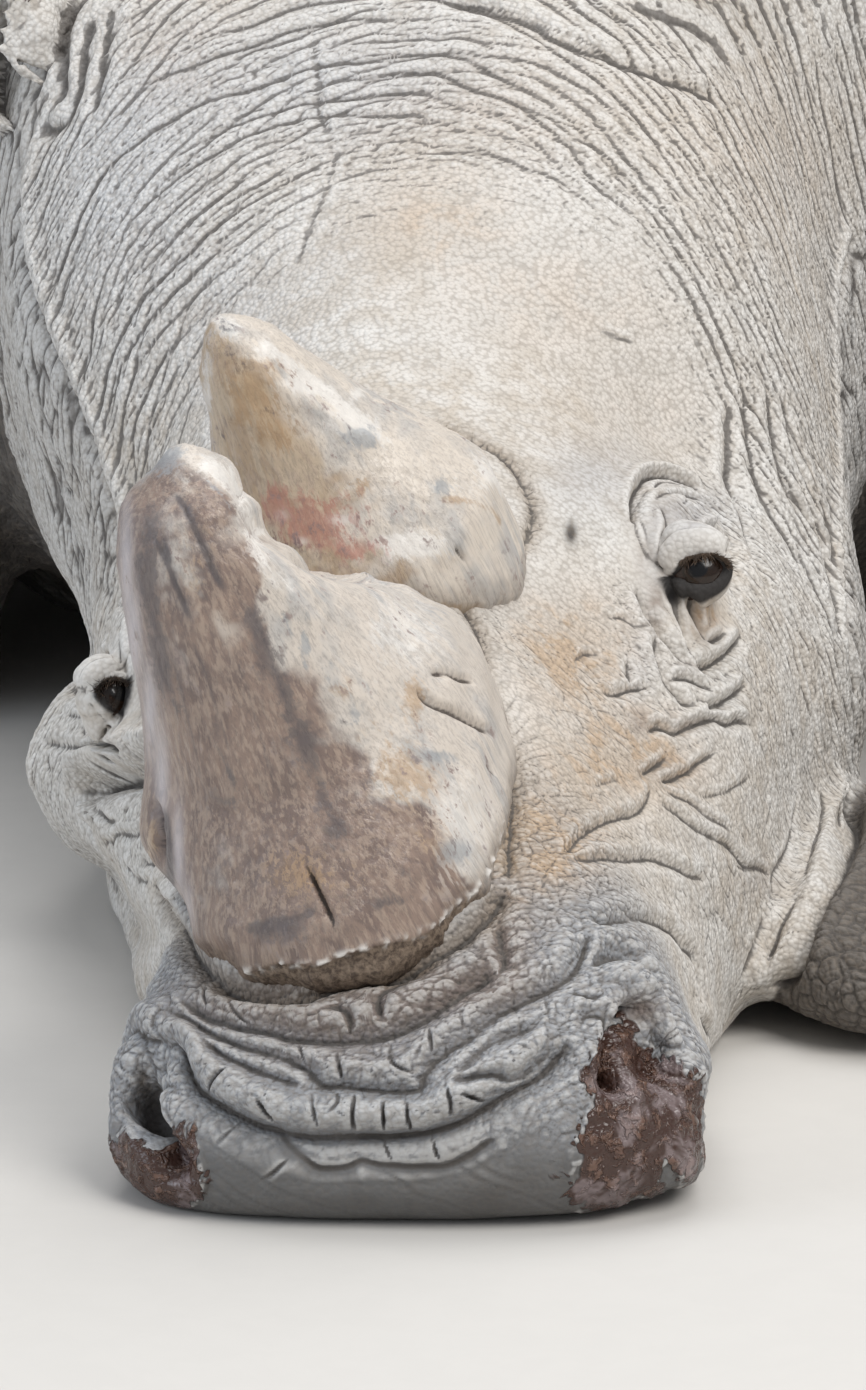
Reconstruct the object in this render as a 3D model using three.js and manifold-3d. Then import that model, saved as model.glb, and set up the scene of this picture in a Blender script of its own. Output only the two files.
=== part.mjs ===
// A white rhinoceros resting on its belly with its chin on the ground, as a still life-size model.
//
// Millimetres, +Z up, floor at z = 0. The head points to -Y and the animal's left side is +X.
// The origin is on the floor under the middle of the belly.
//
// Head, neck and trunk are one lofted body, described by the lines of a side view (top line, widest
// line, belly line) and of a plan view (half width), all against the distance behind the lip. Round
// swellings are added for single muscles and bones, the head is then turned on the neck, and whatever
// would sink below the floor is pressed flat on it. Legs, tail, ears and horns are lofts of their own,
// cut back to where they meet the body.

import * as THREE from "three";
import { ParametricGeometry } from "three/addons/geometries/ParametricGeometry.js";
import { mergeVertices } from "three/addons/utils/BufferGeometryUtils.js";
import Module from "manifold-3d";

const wasm = await Module();
wasm.setup();

// ---------------------------------------------------------------- driving sizes

const BODY_LENGTH = 3500; // lip to rump, in a straight line
const LIP_Y = -1850; // where the lip is in the part's frame
const GAP = 0.4; // between neighbouring pieces
const AROUND = 36; // points round the body

const POLL_AT = 980; // distances behind the lip of the cuts between head, neck and trunk
const NECK_BASE_AT = 1360;
const LIP_ROUNDING = 70; // how far back the blunt front of the muzzle is rounded
const RUMP_ROUNDING = 330;

const HEAD_YAW = THREE.MathUtils.degToRad(-4); // nose towards the animal's right
const HEAD_ROLL = THREE.MathUtils.degToRad(12); // left side raised
const HEAD_PIVOT = new THREE.Vector3(0, LIP_Y + 900, 60);
const HEAD_TURNS_UNTIL = [900, 1500]; // full turn before the first distance, none after the second
const SOFT_LIP = { behind: [120, 330], height: [70, 190], keeps: 0.3 }; // share of the roll it keeps

// Each line is a list of [distance behind the lip, value].
const TOP_LINE = [
  [0, 104], [25, 118], [60, 140], [100, 164], [160, 198], [220, 230], [290, 264], [350, 284],
  [420, 304], [480, 328], [540, 358], [640, 412], [740, 468], [840, 522], [920, 562], [1000, 600],
  [1120, 662], [1260, 760], [1420, 880], [1600, 985], [1800, 1050], [2000, 1052], [2300, 1018],
  [2650, 1028], [2900, 1012], [3120, 960], [3300, 880], [3500, 740],
];
const WIDEST_LINE = [
  [0, 42], [120, 48], [240, 66], [340, 84], [460, 108], [600, 112], [700, 130], [800, 200],
  [900, 240], [1000, 270], [1200, 310], [1500, 335], [2000, 345], [2600, 340], [3000, 380], [3500, 480],
];
const BELLY_LINE = [
  [0, 6], [40, -14], [200, -26], [330, -44], [460, -60], [640, -66], [780, -50], [900, -6],
  [1020, 24], [1160, 6], [1320, -40], [1600, -70], [2900, -70], [3150, -10], [3330, 80], [3500, 200],
];
const HALF_WIDTH = [
  [0, 126], [50, 150], [100, 156], [160, 154], [240, 150], [320, 160], [400, 184], [460, 200],
  [540, 218], [620, 232], [700, 240], [780, 246], [860, 250], [940, 264], [1040, 296], [1140, 338],
  [1260, 390], [1450, 462], [1700, 532], [2000, 582], [2300, 612], [2600, 612], [2850, 592],
  [3100, 552], [3300, 492], [3500, 400],
];
// How square the outline of a cross-section is: 2 is an ellipse and more is squarer.
const SQUARE_ABOVE = [
  [0, 2.3], [60, 2.05], [150, 1.9], [300, 1.75], [460, 1.75], [600, 1.65], [650, 2.0], [700, 2.5],
  [800, 3.0], [900, 3.2], [1000, 2.8], [1200, 2.3], [1600, 2.05], [2600, 2.15], [3500, 2.2],
];
const SQUARE_BELOW = [
  [0, 3.2], [200, 3.4], [420, 3.5], [560, 3.0], [640, 2.6], [800, 2.4], [1000, 2.2], [1500, 2.6],
  [3000, 2.6], [3500, 2.2],
];

// Swellings and hollows: where (distance behind the lip, out from the middle, height), how far they
// reach along, out and up, and how much they add. They are on both sides, unless a side is named.
const SWELLINGS = [
  { name: "nostril wing", at: [70, 140, 96], reach: [42, 40, 36], adds: 9 },
  { name: "hollow behind the nostril", at: [215, 140, 100], reach: [60, 60, 60], adds: -10 },
  { name: "boss of the front horn", at: [170, 70, 195], reach: [95, 60, 60], adds: 12 },
  { name: "hollow beside the horns", at: [330, 115, 200], reach: [80, 60, 60], adds: -9 },
  { name: "bed of the rear horn", at: [410, 60, 300], reach: [75, 55, 50], adds: 9 },
  { name: "brow", at: [475, 165, 262], reach: [48, 50, 34], adds: 14 },
  { name: "cheekbone", at: [540, 200, 170], reach: [80, 60, 40], adds: 6 },
  { name: "cheek pushed up by the floor", side: -1, at: [600, 232, 148], reach: [62, 60, 34], adds: 26 },
  { name: "hollow over that cheek", side: -1, at: [490, 180, 205], reach: [60, 60, 38], adds: -19 },
  { name: "hollow behind that cheek", side: -1, at: [715, 230, 240], reach: [105, 90, 85], adds: -40 },
  { name: "temple hollow", at: [610, 180, 280], reach: [70, 60, 50], adds: -12 },
  { name: "jaw muscle", at: [670, 245, 110], reach: [90, 80, 70], adds: 14 },
  { name: "hollow before the jaw muscle", at: [500, 165, 60], reach: [80, 60, 50], adds: -10 },
  { name: "crown", at: [930, 120, 550], reach: [90, 90, 60], adds: 14 },
  { name: "fold behind the ears", at: [1060, 250, 520], reach: [60, 160, 160], adds: 16 },
  { name: "nuchal hump", at: [1500, 0, 960], reach: [240, 260, 160], adds: 46 },
  { name: "shoulder blade", at: [1560, 450, 620], reach: [190, 160, 260], adds: 44 },
  { name: "upper arm", at: [1500, 500, 300], reach: [200, 160, 150], adds: 52 },
  { name: "hollow behind the shoulder", at: [1830, 560, 520], reach: [110, 160, 260], adds: -34 },
  { name: "flank hollow", at: [2620, 540, 760], reach: [150, 200, 150], adds: -52 },
  { name: "hip bone", at: [2820, 380, 930], reach: [90, 110, 80], adds: 34 },
  { name: "haunch", at: [2980, 560, 500], reach: [230, 180, 250], adds: 62 },
  { name: "seat bone", at: [3330, 210, 560], reach: [150, 120, 170], adds: 30 },
  { name: "groove under the tail", at: [3480, 0, 450], reach: [170, 70, 280], adds: -34 },
  { name: "groove of the back", at: [2300, 0, 1020], reach: [500, 60, 80], adds: -14 },
];

const EYE = { radius: 18, behind: 462, height: 212, proud: 4 };
const NOSTRIL = { at: [136, 58, 76], reach: [17, 24, 30], tilt: THREE.MathUtils.degToRad(24) };

// Horns and ears are placed on the straight head as [out to the left, behind the lip, height].
const FRONT_HORN = {
  spine: [[-8, 200, 130], [-13, 168, 220], [-28, 126, 290], [-40, 92, 360], [-42, 78, 414]],
  across: [[0, 95], [0.3, 93], [0.45, 76], [0.7, 52], [0.88, 39], [0.97, 27], [1, 8]],
  along: [[0, 150], [0.3, 142], [0.45, 92], [0.7, 56], [0.88, 39], [0.97, 26], [1, 8]],
};
const REAR_HORN = {
  spine: [[4, 384, 215], [2, 372, 282], [-12, 342, 350], [-29, 314, 414], [-38, 300, 443]],
  across: [[0, 90], [0.34, 87], [0.48, 60], [0.66, 33], [0.86, 18], [1, 4]],
  along: [[0, 76], [0.34, 72], [0.48, 48], [0.66, 30], [0.86, 17], [1, 4]],
};
const EAR = {
  spine: [[192, 920, 480], [222, 928, 560], [262, 938, 636], [292, 948, 704], [308, 958, 748]],
  radius: [[0, 46], [0.3, 50], [0.6, 58], [0.85, 40], [1, 9]],
  wrap: [[0, 170], [0.25, 150], [0.5, 105], [1, 80]], // degrees each way round from the back
  thickness: 7,
  faces: [0.55, -0.8, -0.1], // where the hollow side of the left ear looks
};

// Limbs are lofts through stations of [x, y, z, half width, half height], x on the left side.
const TAIL = [
  [0, 1440, 820, 70, 90], [4, 1610, 770, 62, 66], [18, 1690, 650, 50, 46], [40, 1712, 510, 40, 36],
  [72, 1690, 370, 32, 30], [108, 1648, 250, 27, 26], [144, 1640, 130, 24, 24], [184, 1670, 46, 24, 26],
  [228, 1716, 24, 26, 26], [276, 1748, 18, 16, 18],
];
const FORELEGS = {
  left: {
    arm: [
      [400, -380, 380, 140, 215], [470, -620, 250, 150, 200], [470, -850, 146, 132, 142],
      [424, -1050, 94, 116, 100], [346, -1230, 64, 112, 74], [250, -1410, 42, 110, 52],
      [190, -1524, 34, 98, 42],
    ],
    foot: [
      [330, -1290, 54, 70, 56], [452, -1190, 64, 80, 66], [572, -1110, 76, 84, 76],
      [664, -1020, 92, 104, 92], [704, -920, 100, 106, 98],
    ],
  },
  right: {
    arm: [
      [440, 0, 360, 140, 215], [530, -230, 240, 146, 196], [516, -420, 165, 130, 156],
      [462, -580, 128, 116, 128], [414, -700, 100, 108, 102], [386, -782, 76, 94, 80],
    ],
    foot: [
      [440, -700, 62, 72, 60], [570, -640, 70, 80, 70], [684, -570, 80, 84, 78],
      [760, -480, 94, 104, 92], [790, -380, 100, 106, 98],
    ],
  },
};
const HIND_LEG = {
  arm: [
    [330, 1300, 500, 120, 210], [470, 1080, 450, 150, 262], [580, 860, 350, 156, 255],
    [630, 700, 256, 132, 212], [642, 580, 190, 104, 152],
  ],
  foot: [
    [560, 1230, 96, 100, 100], [616, 1100, 84, 98, 92], [670, 930, 72, 90, 78], [716, 770, 70, 94, 76],
    [738, 650, 68, 118, 78], [748, 545, 62, 114, 72],
  ],
};
const FOOT_SHIFT = { left: -30, right: 40 }; // the hind legs don't lie quite alike
const NAIL = { halves: [44, 23, 40], height: 40, sits: 100, fan: THREE.MathUtils.degToRad(50) };
const LIMB_ROUNDING = 0.14; // share of a limb's length over which each end is rounded

// ---------------------------------------------------------------- small helpers

const smooth = (from, to, x) => THREE.MathUtils.smoothstep(x, from, to);
const fade = (from, to, x) => 1 - smooth(from, to, x);
const between = (from, to, share) => from + (to - from) * share;
const spaced = (from, to, count) =>
  Array.from({ length: count }, (_, i) => between(from, to, i / (count - 1)));
const UP = new THREE.Vector3(0, 0, 1);
const BELOW = -5; // cutters reach this far under the floor
const onFloor = (p, floor = 0) => p.setZ(Math.max(p.z, floor));

// A curve through [position, value] pairs that never overshoots them.
function line(pairs) {
  const steps = pairs.slice(1).map(([x, y], i) => (y - pairs[i][1]) / (x - pairs[i][0]));
  const slopes = pairs.map((_, i) => {
    const before = steps[Math.max(0, i - 1)];
    const after = steps[Math.min(steps.length - 1, i)];
    return before * after <= 0 ? 0 : (2 * before * after) / (before + after);
  });
  return (at) => {
    const x = THREE.MathUtils.clamp(at, pairs[0][0], pairs[pairs.length - 1][0]);
    let i = 0;
    while (i < pairs.length - 2 && x > pairs[i + 1][0]) i += 1;
    const width = pairs[i + 1][0] - pairs[i][0];
    const t = (x - pairs[i][0]) / width;
    const [a, b] = [pairs[i][1], pairs[i + 1][1]];
    const start = slopes[i] * width * t * (1 - t) * (1 - t);
    const end = slopes[i + 1] * width * t * t * (t - 1);
    return a + (b - a) * t * t * (3 - 2 * t) + start + end;
  };
}

// A point of a squared ellipse at an angle, 0 pointing out and a quarter turn pointing up.
function squared(angle, halfWidth, halfHeight, square = 2) {
  const bend = (v) => Math.sign(v) * Math.abs(v) ** (2 / square);
  return [halfWidth * bend(Math.cos(angle)), halfHeight * bend(Math.sin(angle))];
}

// Only positions, shared between neighbours, without the empty triangles of closed ends, faces out.
function closed(geometry) {
  const bare = geometry.clone();
  bare.deleteAttribute("normal");
  bare.deleteAttribute("uv");
  const merged = mergeVertices(bare, 1e-3);
  const [a, b, c] = [new THREE.Vector3(), new THREE.Vector3(), new THREE.Vector3()];
  const kept = [];
  let volume = 0;
  for (let i = 0; i < merged.index.count; i += 3) {
    const corners = [0, 1, 2].map((k) => merged.index.getX(i + k));
    if (new Set(corners).size < 3) continue;
    kept.push(corners);
    [a, b, c].forEach((corner, k) => corner.fromBufferAttribute(merged.attributes.position, corners[k]));
    volume += a.dot(b.cross(c));
  }
  merged.setIndex(kept.flatMap((corners) => (volume < 0 ? corners.reverse() : corners)));
  return merged;
}

// A closed tube: a ring of points for each station, and a fan to the middle of the first and last.
function loft(stations, around, pointAt) {
  const ring = (station) => spaced(0, 2 * Math.PI, around + 1).map((angle) => pointAt(station, angle));
  const rings = stations.map(ring);
  const middle = (points) =>
    points.slice(1).reduce((sum, p) => sum.add(p), new THREE.Vector3()).divideScalar(around);
  const fan = (points) => points.map(() => middle(points));
  const rows = [fan(rings[0]), ...rings, fan(rings[rings.length - 1])];
  const place = (u, v, target) => {
    const row = rows[Math.round(v * (rows.length - 1))];
    target.copy(row[Math.round(u * around) % around]);
  };
  return closed(new ParametricGeometry(place, around, rows.length - 1));
}

function solidOf(geometry) {
  return new wasm.Manifold(
    new wasm.Mesh({
      numProp: 3,
      vertProperties: new Float32Array(geometry.attributes.position.array),
      triVerts: new Uint32Array(geometry.index.array),
    }),
  );
}

function geometryOf(solid) {
  const mesh = solid.getMesh();
  const geometry = new THREE.BufferGeometry();
  geometry.setAttribute("position", new THREE.Float32BufferAttribute(mesh.vertProperties, 3));
  geometry.setIndex([...mesh.triVerts]);
  return geometry;
}

// What is left of a geometry after the cutters, without loose crumbs.
function trimmed(geometry, ...cutters) {
  const left = cutters.reduce((solid, cutter) => solid.subtract(solidOf(cutter)), solidOf(geometry));
  const pieces = left.decompose().sort((a, b) => b.volume() - a.volume());
  return geometryOf(pieces[0]);
}

const joined = (...geometries) => geometryOf(geometries.map(solidOf).reduce((sum, next) => sum.add(next)));

// ---------------------------------------------------------------- head, neck and trunk

const top = line(TOP_LINE);
const widest = line(WIDEST_LINE);
const belly = line(BELLY_LINE);
const halfWidth = line(HALF_WIDTH);
const squareAbove = line(SQUARE_ABOVE);
const squareBelow = line(SQUARE_BELOW);

// How full the body is near its two ends, 0 at the very tip and 1 past the rounding.
function fullness(s) {
  const blunt = (t, power) => (1 - (1 - Math.min(1, t)) ** power) ** (1 / power);
  return Math.min(blunt(s / LIP_ROUNDING, 2.7), blunt((BODY_LENGTH - s) / RUMP_ROUNDING, 2.1));
}

function swell(s, x, z) {
  return SWELLINGS.reduce((sum, { side, at, reach, adds }) => {
    if (side && side * x < 0) return sum;
    const off = ((s - at[0]) / reach[0]) ** 2 + ((Math.abs(x) - at[1]) / reach[1]) ** 2;
    return sum + adds * Math.exp(-off - ((z - at[2]) / reach[2]) ** 2);
  }, 0);
}

// Turns a point of the straight animal as the head is turned, less and less down the neck.
function turned(p) {
  const s = p.y - LIP_Y;
  const share = fade(...HEAD_TURNS_UNTIL, s);
  const low = fade(...SOFT_LIP.behind, s) * fade(...SOFT_LIP.height, p.z);
  const roll = HEAD_ROLL * share * (1 - low * (1 - SOFT_LIP.keeps));
  return p
    .sub(HEAD_PIVOT)
    .applyAxisAngle(new THREE.Vector3(0, 1, 0), -roll)
    .applyAxisAngle(UP, HEAD_YAW * share)
    .add(HEAD_PIVOT);
}

const onHead = ([x, s, z]) => turned(new THREE.Vector3(x, LIP_Y + s, z));

// The point of the skin at a distance behind the lip and an angle round the body.
function skin(s, angle, grow = 0) {
  const full = fullness(s);
  const above = Math.sin(angle) >= 0;
  const reach = above ? top(s) - widest(s) : widest(s) - belly(s);
  const square = above ? squareAbove(s) : squareBelow(s);
  const [x, z] = squared(angle, halfWidth(s) * full, reach * full, square);
  const out = new THREE.Vector2(x / halfWidth(s), z / reach).normalize();
  const more = swell(s, x, widest(s) + z) * full + grow;
  const p = new THREE.Vector3(x + out.x * more, LIP_Y + s, widest(s) + z + out.y * more);
  return onFloor(turned(p), grow > 0 ? BELOW : 0);
}

const lengthOfBody = (stations, grow = 0) => loft(stations, AROUND, (s, angle) => skin(s, angle, grow));

const muzzleStations = spaced(0, 1, 7).map((t) => 0.4 + 109 * t ** 2.1);
const headStations = [...muzzleStations, ...spaced(140, POLL_AT - GAP, 24)];
const neckStations = spaced(POLL_AT, NECK_BASE_AT - GAP, 7);
const rumpStations = spaced(0, 1, 8).map((t) => BODY_LENGTH - 0.4 - 400 * (1 - t) ** 2);
const trunkStations = [...spaced(NECK_BASE_AT, 3010, 14), ...rumpStations];

const headLoft = lengthOfBody(headStations);

function nostril(side) {
  const [out, behind, height] = NOSTRIL.at;
  const pit = new THREE.SphereGeometry(1, 12, 8).scale(...NOSTRIL.reach).rotateX(NOSTRIL.tilt);
  return closed(pit.translate(...onHead([side * out, behind, height]).toArray()));
}

const bodyCutter = lengthOfBody([...headStations, ...neckStations, ...trunkStations], GAP);

// ---------------------------------------------------------------- eyes

// The angle at which the straight skin of one side is at a height above the floor.
function angleAtHeight(s, height) {
  const rise = THREE.MathUtils.clamp((height - widest(s)) / (top(s) - widest(s)), 0, 1);
  return Math.asin(rise ** (squareAbove(s) / 2));
}

function outOfSkin(s, angle) {
  const [along, round] = [4, 0.02];
  const lengthwise = skin(s + along, angle).sub(skin(s - along, angle));
  const across = skin(s, angle + round).sub(skin(s, angle - round));
  return across.cross(lengthwise).normalize();
}

function eyeBall(side, radius) {
  const angle = angleAtHeight(EYE.behind, EYE.height);
  const round = side > 0 ? angle : Math.PI - angle;
  const out = outOfSkin(EYE.behind, round);
  const centre = skin(EYE.behind, round).addScaledVector(out, EYE.proud - EYE.radius);
  return closed(new THREE.SphereGeometry(radius, 12, 8).translate(...centre.toArray()));
}

// ---------------------------------------------------------------- horns and ears

// A loft along a curved spine; `pointAt` gets how far along it is (0 to 1), the place and two axes.
function alongSpine(points, count, around, pointAt, out = new THREE.Vector3(1, 0, 0)) {
  const curve = new THREE.CatmullRomCurve3(points);
  return loft(spaced(0, 1, count), around, (t, angle) => {
    const tangent = curve.getTangent(t);
    const aside = out.clone().addScaledVector(tangent, -out.dot(tangent)).normalize();
    const upward = tangent.clone().cross(aside);
    const [a, b] = pointAt(t, angle);
    return curve.getPoint(t).addScaledVector(aside, a).addScaledVector(upward, b);
  });
}

function horn({ spine, across, along }, count) {
  const [wide, deep] = [line(across), line(along)];
  return alongSpine(spine.map(onHead), count, 18, (t, angle) => squared(angle, wide(t), deep(t)));
}

function ear(side) {
  const [radius, wrap] = [line(EAR.radius), line(EAR.wrap)];
  const mirror = ([x, y, z]) => [side * x, y, z];
  const looks = new THREE.Vector3(...mirror(EAR.faces)).normalize();
  // Half of a ring's points run along the outside of the shell and the other half back inside it.
  const shell = (t, angle) => {
    const half = angle / Math.PI;
    const outside = half <= 1;
    const sweep = THREE.MathUtils.degToRad(wrap(t)) * (outside ? 2 * half - 1 : 3 - 2 * half);
    const reach = radius(t) - (outside ? 0 : Math.min(EAR.thickness, radius(t) * 0.6));
    return [-reach * Math.cos(sweep), reach * Math.sin(sweep)];
  };
  return alongSpine(EAR.spine.map(mirror).map(onHead), 8, 16, shell, looks);
}

// ---------------------------------------------------------------- limbs

function limb(stations, { side = 1, shift = 0, grow = 0, around = 11, rings = 10, square = 2.3 } = {}) {
  const places = stations.map(([x, y, z]) => new THREE.Vector3(side * x, y + shift, z));
  const share = spaced(0, 1, stations.length);
  const wide = line(stations.map(([, , , w], i) => [share[i], w]));
  const high = line(stations.map(([, , , , h], i) => [share[i], h]));
  const curve = new THREE.CatmullRomCurve3(places);
  const endwards = (t) => Math.max(0, Math.abs(2 * t - 1) - 1 + 2 * LIMB_ROUNDING) / (2 * LIMB_ROUNDING);
  const steps = spaced(0, Math.PI, rings).map((a) => 0.5 - 0.499 * Math.cos(a));
  return loft(steps, around, (t, angle) => {
    const tangent = curve.getTangent(t);
    const aside = UP.clone().cross(tangent).normalize();
    const upward = tangent.clone().cross(aside);
    const round = Math.sqrt(1 - endwards(t) ** 2);
    const [a, b] = squared(angle, wide(t) * round + grow, high(t) * round + grow, square);
    const p = curve.getPoint(t).addScaledVector(aside, a).addScaledVector(upward, b);
    return onFloor(p, grow > 0 ? BELOW : 0);
  });
}

const leg = ({ arm, foot }, settings) => joined(limb(arm, settings), limb(foot, settings));

// Three toenails round the tip of a foot, from the inner one to the outer one.
function toenails(shape, settings) {
  const { side, shift } = settings;
  const { foot } = shape;
  const [[x0, y0], [x1, y1]] = foot.slice(-2);
  const heading = new THREE.Vector3(side * (x1 - x0), y1 - y0, 0).normalize();
  const tip = new THREE.Vector3(side * x1, y1 + shift, NAIL.height);
  const turn = -side * Math.sign(y1 - y0) * NAIL.fan;
  const middle = tip.addScaledVector(heading, -NAIL.sits);
  const cutter = leg(shape, { ...settings, grow: GAP });
  return [-1, 0, 1].map((k) => {
    const out = heading.clone().applyAxisAngle(UP, turn * k);
    const centre = middle.clone().addScaledVector(out, NAIL.sits);
    const nail = new THREE.SphereGeometry(1, 7, 5).rotateX(Math.PI / 2).scale(...NAIL.halves);
    nail.rotateZ(Math.atan2(-out.x, out.y)).translate(...centre.toArray());
    return trimmed(closed(nail), cutter);
  });
}

// ---------------------------------------------------------------- the animal

const colours = { hide: 0xa69e92, horn: 0x9b8570, eye: 0x1c1410, nail: 0x5b5248 };
const roughness = { hide: 0.9, horn: 0.6, eye: 0.1, nail: 0.7 };
const animal = new THREE.Group();

function add(name, geometry, finish) {
  const look = { color: colours[finish], roughness: roughness[finish], metalness: 0 };
  const mesh = new THREE.Mesh(geometry, new THREE.MeshStandardMaterial(look));
  mesh.name = name;
  animal.add(mesh);
}

const sides = { left: 1, right: -1 };
const pits = Object.values(sides).flatMap((side) => [eyeBall(side, EYE.radius + GAP), nostril(side)]);

add("head", trimmed(headLoft, ...pits), "hide");
add("neck", lengthOfBody(neckStations), "hide");
add("trunk", lengthOfBody(trunkStations), "hide");
add("horn_front", trimmed(horn(FRONT_HORN, 12), bodyCutter), "horn");
add("horn_rear", trimmed(horn(REAR_HORN, 10), bodyCutter, horn(FRONT_HORN, 12)), "horn");
add("tail", trimmed(limb(TAIL, { around: 10, rings: 15, square: 2 }), bodyCutter), "hide");
Object.entries(sides).forEach(([name, side]) => {
  add(`eye_${name}`, eyeBall(side, EYE.radius), "eye");
  add(`ear_${name}`, trimmed(ear(side), bodyCutter), "hide");
  const limbs = {
    fore: [FORELEGS[name], { side, shift: 0 }],
    hind: [HIND_LEG, { side, shift: FOOT_SHIFT[name] }],
  };
  Object.entries(limbs).forEach(([end, [shape, settings]]) => {
    add(`leg_${end}_${name}`, trimmed(leg(shape, settings), bodyCutter), "hide");
    toenails(shape, settings).forEach((nail, i) => add(`nail_${end}_${name}_${i + 1}`, nail, "nail"));
  });
});

export default animal;
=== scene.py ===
"""The looks of a life-size resting white rhinoceros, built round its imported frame.

One skin replaces the nodes of flesh. It is remeshed from them, refined towards the face, and then
worked over: lids, nostrils, large folds, traced creases and a net of wrinkles that follow the lie of
the skin. Horns, eyes and toenails are pieces of their own, and the ear fringes, lashes and tail
bristles are solid locks over the skin. Everything is in metres, in the frame's own axes.
"""

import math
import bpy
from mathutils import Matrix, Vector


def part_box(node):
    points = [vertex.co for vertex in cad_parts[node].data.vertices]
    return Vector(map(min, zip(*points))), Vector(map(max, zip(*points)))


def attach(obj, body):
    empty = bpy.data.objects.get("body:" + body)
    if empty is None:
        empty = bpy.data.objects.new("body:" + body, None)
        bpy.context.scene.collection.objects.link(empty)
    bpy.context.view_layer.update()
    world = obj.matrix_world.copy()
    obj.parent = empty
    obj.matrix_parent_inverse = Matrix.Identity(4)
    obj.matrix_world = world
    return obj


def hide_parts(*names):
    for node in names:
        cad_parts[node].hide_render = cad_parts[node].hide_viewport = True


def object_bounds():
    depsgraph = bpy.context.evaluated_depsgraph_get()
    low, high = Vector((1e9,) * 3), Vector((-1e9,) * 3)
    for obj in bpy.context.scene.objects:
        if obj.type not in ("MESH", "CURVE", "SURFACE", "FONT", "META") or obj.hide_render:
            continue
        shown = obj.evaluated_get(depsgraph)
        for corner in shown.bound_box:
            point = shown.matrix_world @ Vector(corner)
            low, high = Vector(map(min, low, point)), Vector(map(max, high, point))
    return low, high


bl_info = {
    "name": "Resting White Rhinoceros",
    "version": (1, 0, 0),
    "blender": (4, 5, 0),
    "location": "3D View > Sidebar > Rhinoceros",
    "description": "Builds the skin, horns, eyes, toenails and coat of a resting rhinoceros",
    "category": "Object",
}

from itertools import product
from types import SimpleNamespace

import bmesh
import bpy
import numpy as np
from bpy.props import FloatProperty, FloatVectorProperty, PointerProperty
from mathutils import Vector
from mathutils.bvhtree import BVHTree

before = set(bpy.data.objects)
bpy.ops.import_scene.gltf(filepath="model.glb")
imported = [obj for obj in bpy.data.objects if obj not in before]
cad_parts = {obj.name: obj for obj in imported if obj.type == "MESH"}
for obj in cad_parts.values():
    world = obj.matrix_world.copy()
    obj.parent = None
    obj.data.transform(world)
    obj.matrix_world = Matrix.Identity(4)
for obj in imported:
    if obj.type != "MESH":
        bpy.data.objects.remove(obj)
cad_box = [list(corner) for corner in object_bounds()]

MM = 0.001
BODY = "root"

# ------------------------------------------------------------------ the frame and its landmarks

FLESH = ["head", "neck", "trunk", "tail"]
FLESH += [f"leg_{end}_{side}" for end, side in product(("fore", "hind"), ("left", "right"))]
EARS = ["ear_left", "ear_right"]
EYES = ["eye_left", "eye_right"]
HORNS = ["horn_front", "horn_rear"]
FEET = [f"{end}_{side}" for end, side in product(("fore", "hind"), ("left", "right"))]
SIDES = {"left": 1, "right": -1}

LIP_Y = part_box("head")[0].y  # the front of the muzzle
HEAD_TURN = math.radians(-4)  # nose towards the animal's right
HEAD_ROLL = math.radians(12)  # left side raised
HEAD_PIVOT = np.array([0, LIP_Y + 0.9, 0.06])
HEAD_TURNS_UNTIL = (0.9, 1.5)  # full turn before the first distance behind the lip, none after

# ------------------------------------------------------------------ the camera and its picture

PICTURE = (866, 1390)  # pixels
FOCAL = 8700  # pixels
CAMERA_TILT = math.radians(14)
LIP_MARK = {"pixel": (395, 1228), "place": np.array([-0.060, -1.833, 0.0]), "away": 4.5}
FORWARD = np.array([0, math.cos(CAMERA_TILT), -math.sin(CAMERA_TILT)])
UPWARD = np.array([0, math.sin(CAMERA_TILT), math.cos(CAMERA_TILT)])
RIGHTWARD = np.array([1.0, 0, 0])


def camera_place():
    """Where the camera stands for the lip to be seen at its pixel."""
    (px, py), away = LIP_MARK["pixel"], LIP_MARK["away"]
    slope = (py - PICTURE[1] / 2) / FOCAL
    raised = slope * away / (math.cos(CAMERA_TILT) - slope * math.sin(CAMERA_TILT))
    aside = (PICTURE[0] / 2 - px) / FOCAL * away
    return LIP_MARK["place"] - away * FORWARD + aside * RIGHTWARD + np.array([0, 0, raised])


CAMERA = camera_place()


def ray(pixel):
    """The direction from the camera through a pixel."""
    x, y = pixel
    out = FORWARD + (x - PICTURE[0] / 2) / FOCAL * RIGHTWARD + (PICTURE[1] / 2 - y) / FOCAL * UPWARD
    return out / np.linalg.norm(out)


def pixels(co):
    """Where points are seen, and how far away."""
    off = co - CAMERA
    away = off @ FORWARD
    x = PICTURE[0] / 2 + FOCAL * (off @ RIGHTWARD) / away
    return np.column_stack([x, PICTURE[1] / 2 - FOCAL * (off @ UPWARD) / away]), away


def facing_camera(co, no):
    """How squarely a surface faces the camera: 1 if it does, 0 edge on, -1 if it faces away."""
    to_camera = CAMERA - co
    return dot(no, to_camera) / np.linalg.norm(to_camera, axis=1)


def touched(tree, marks):
    """The places on a surface that pixels show, without those that miss it."""
    hits = [tree.ray_cast(Vector(CAMERA), Vector(ray(mark)))[0] for mark in marks]
    return np.array([hit for hit in hits if hit is not None], float).reshape(-1, 3)


# ------------------------------------------------------------------ creases, as the camera sees them

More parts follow.
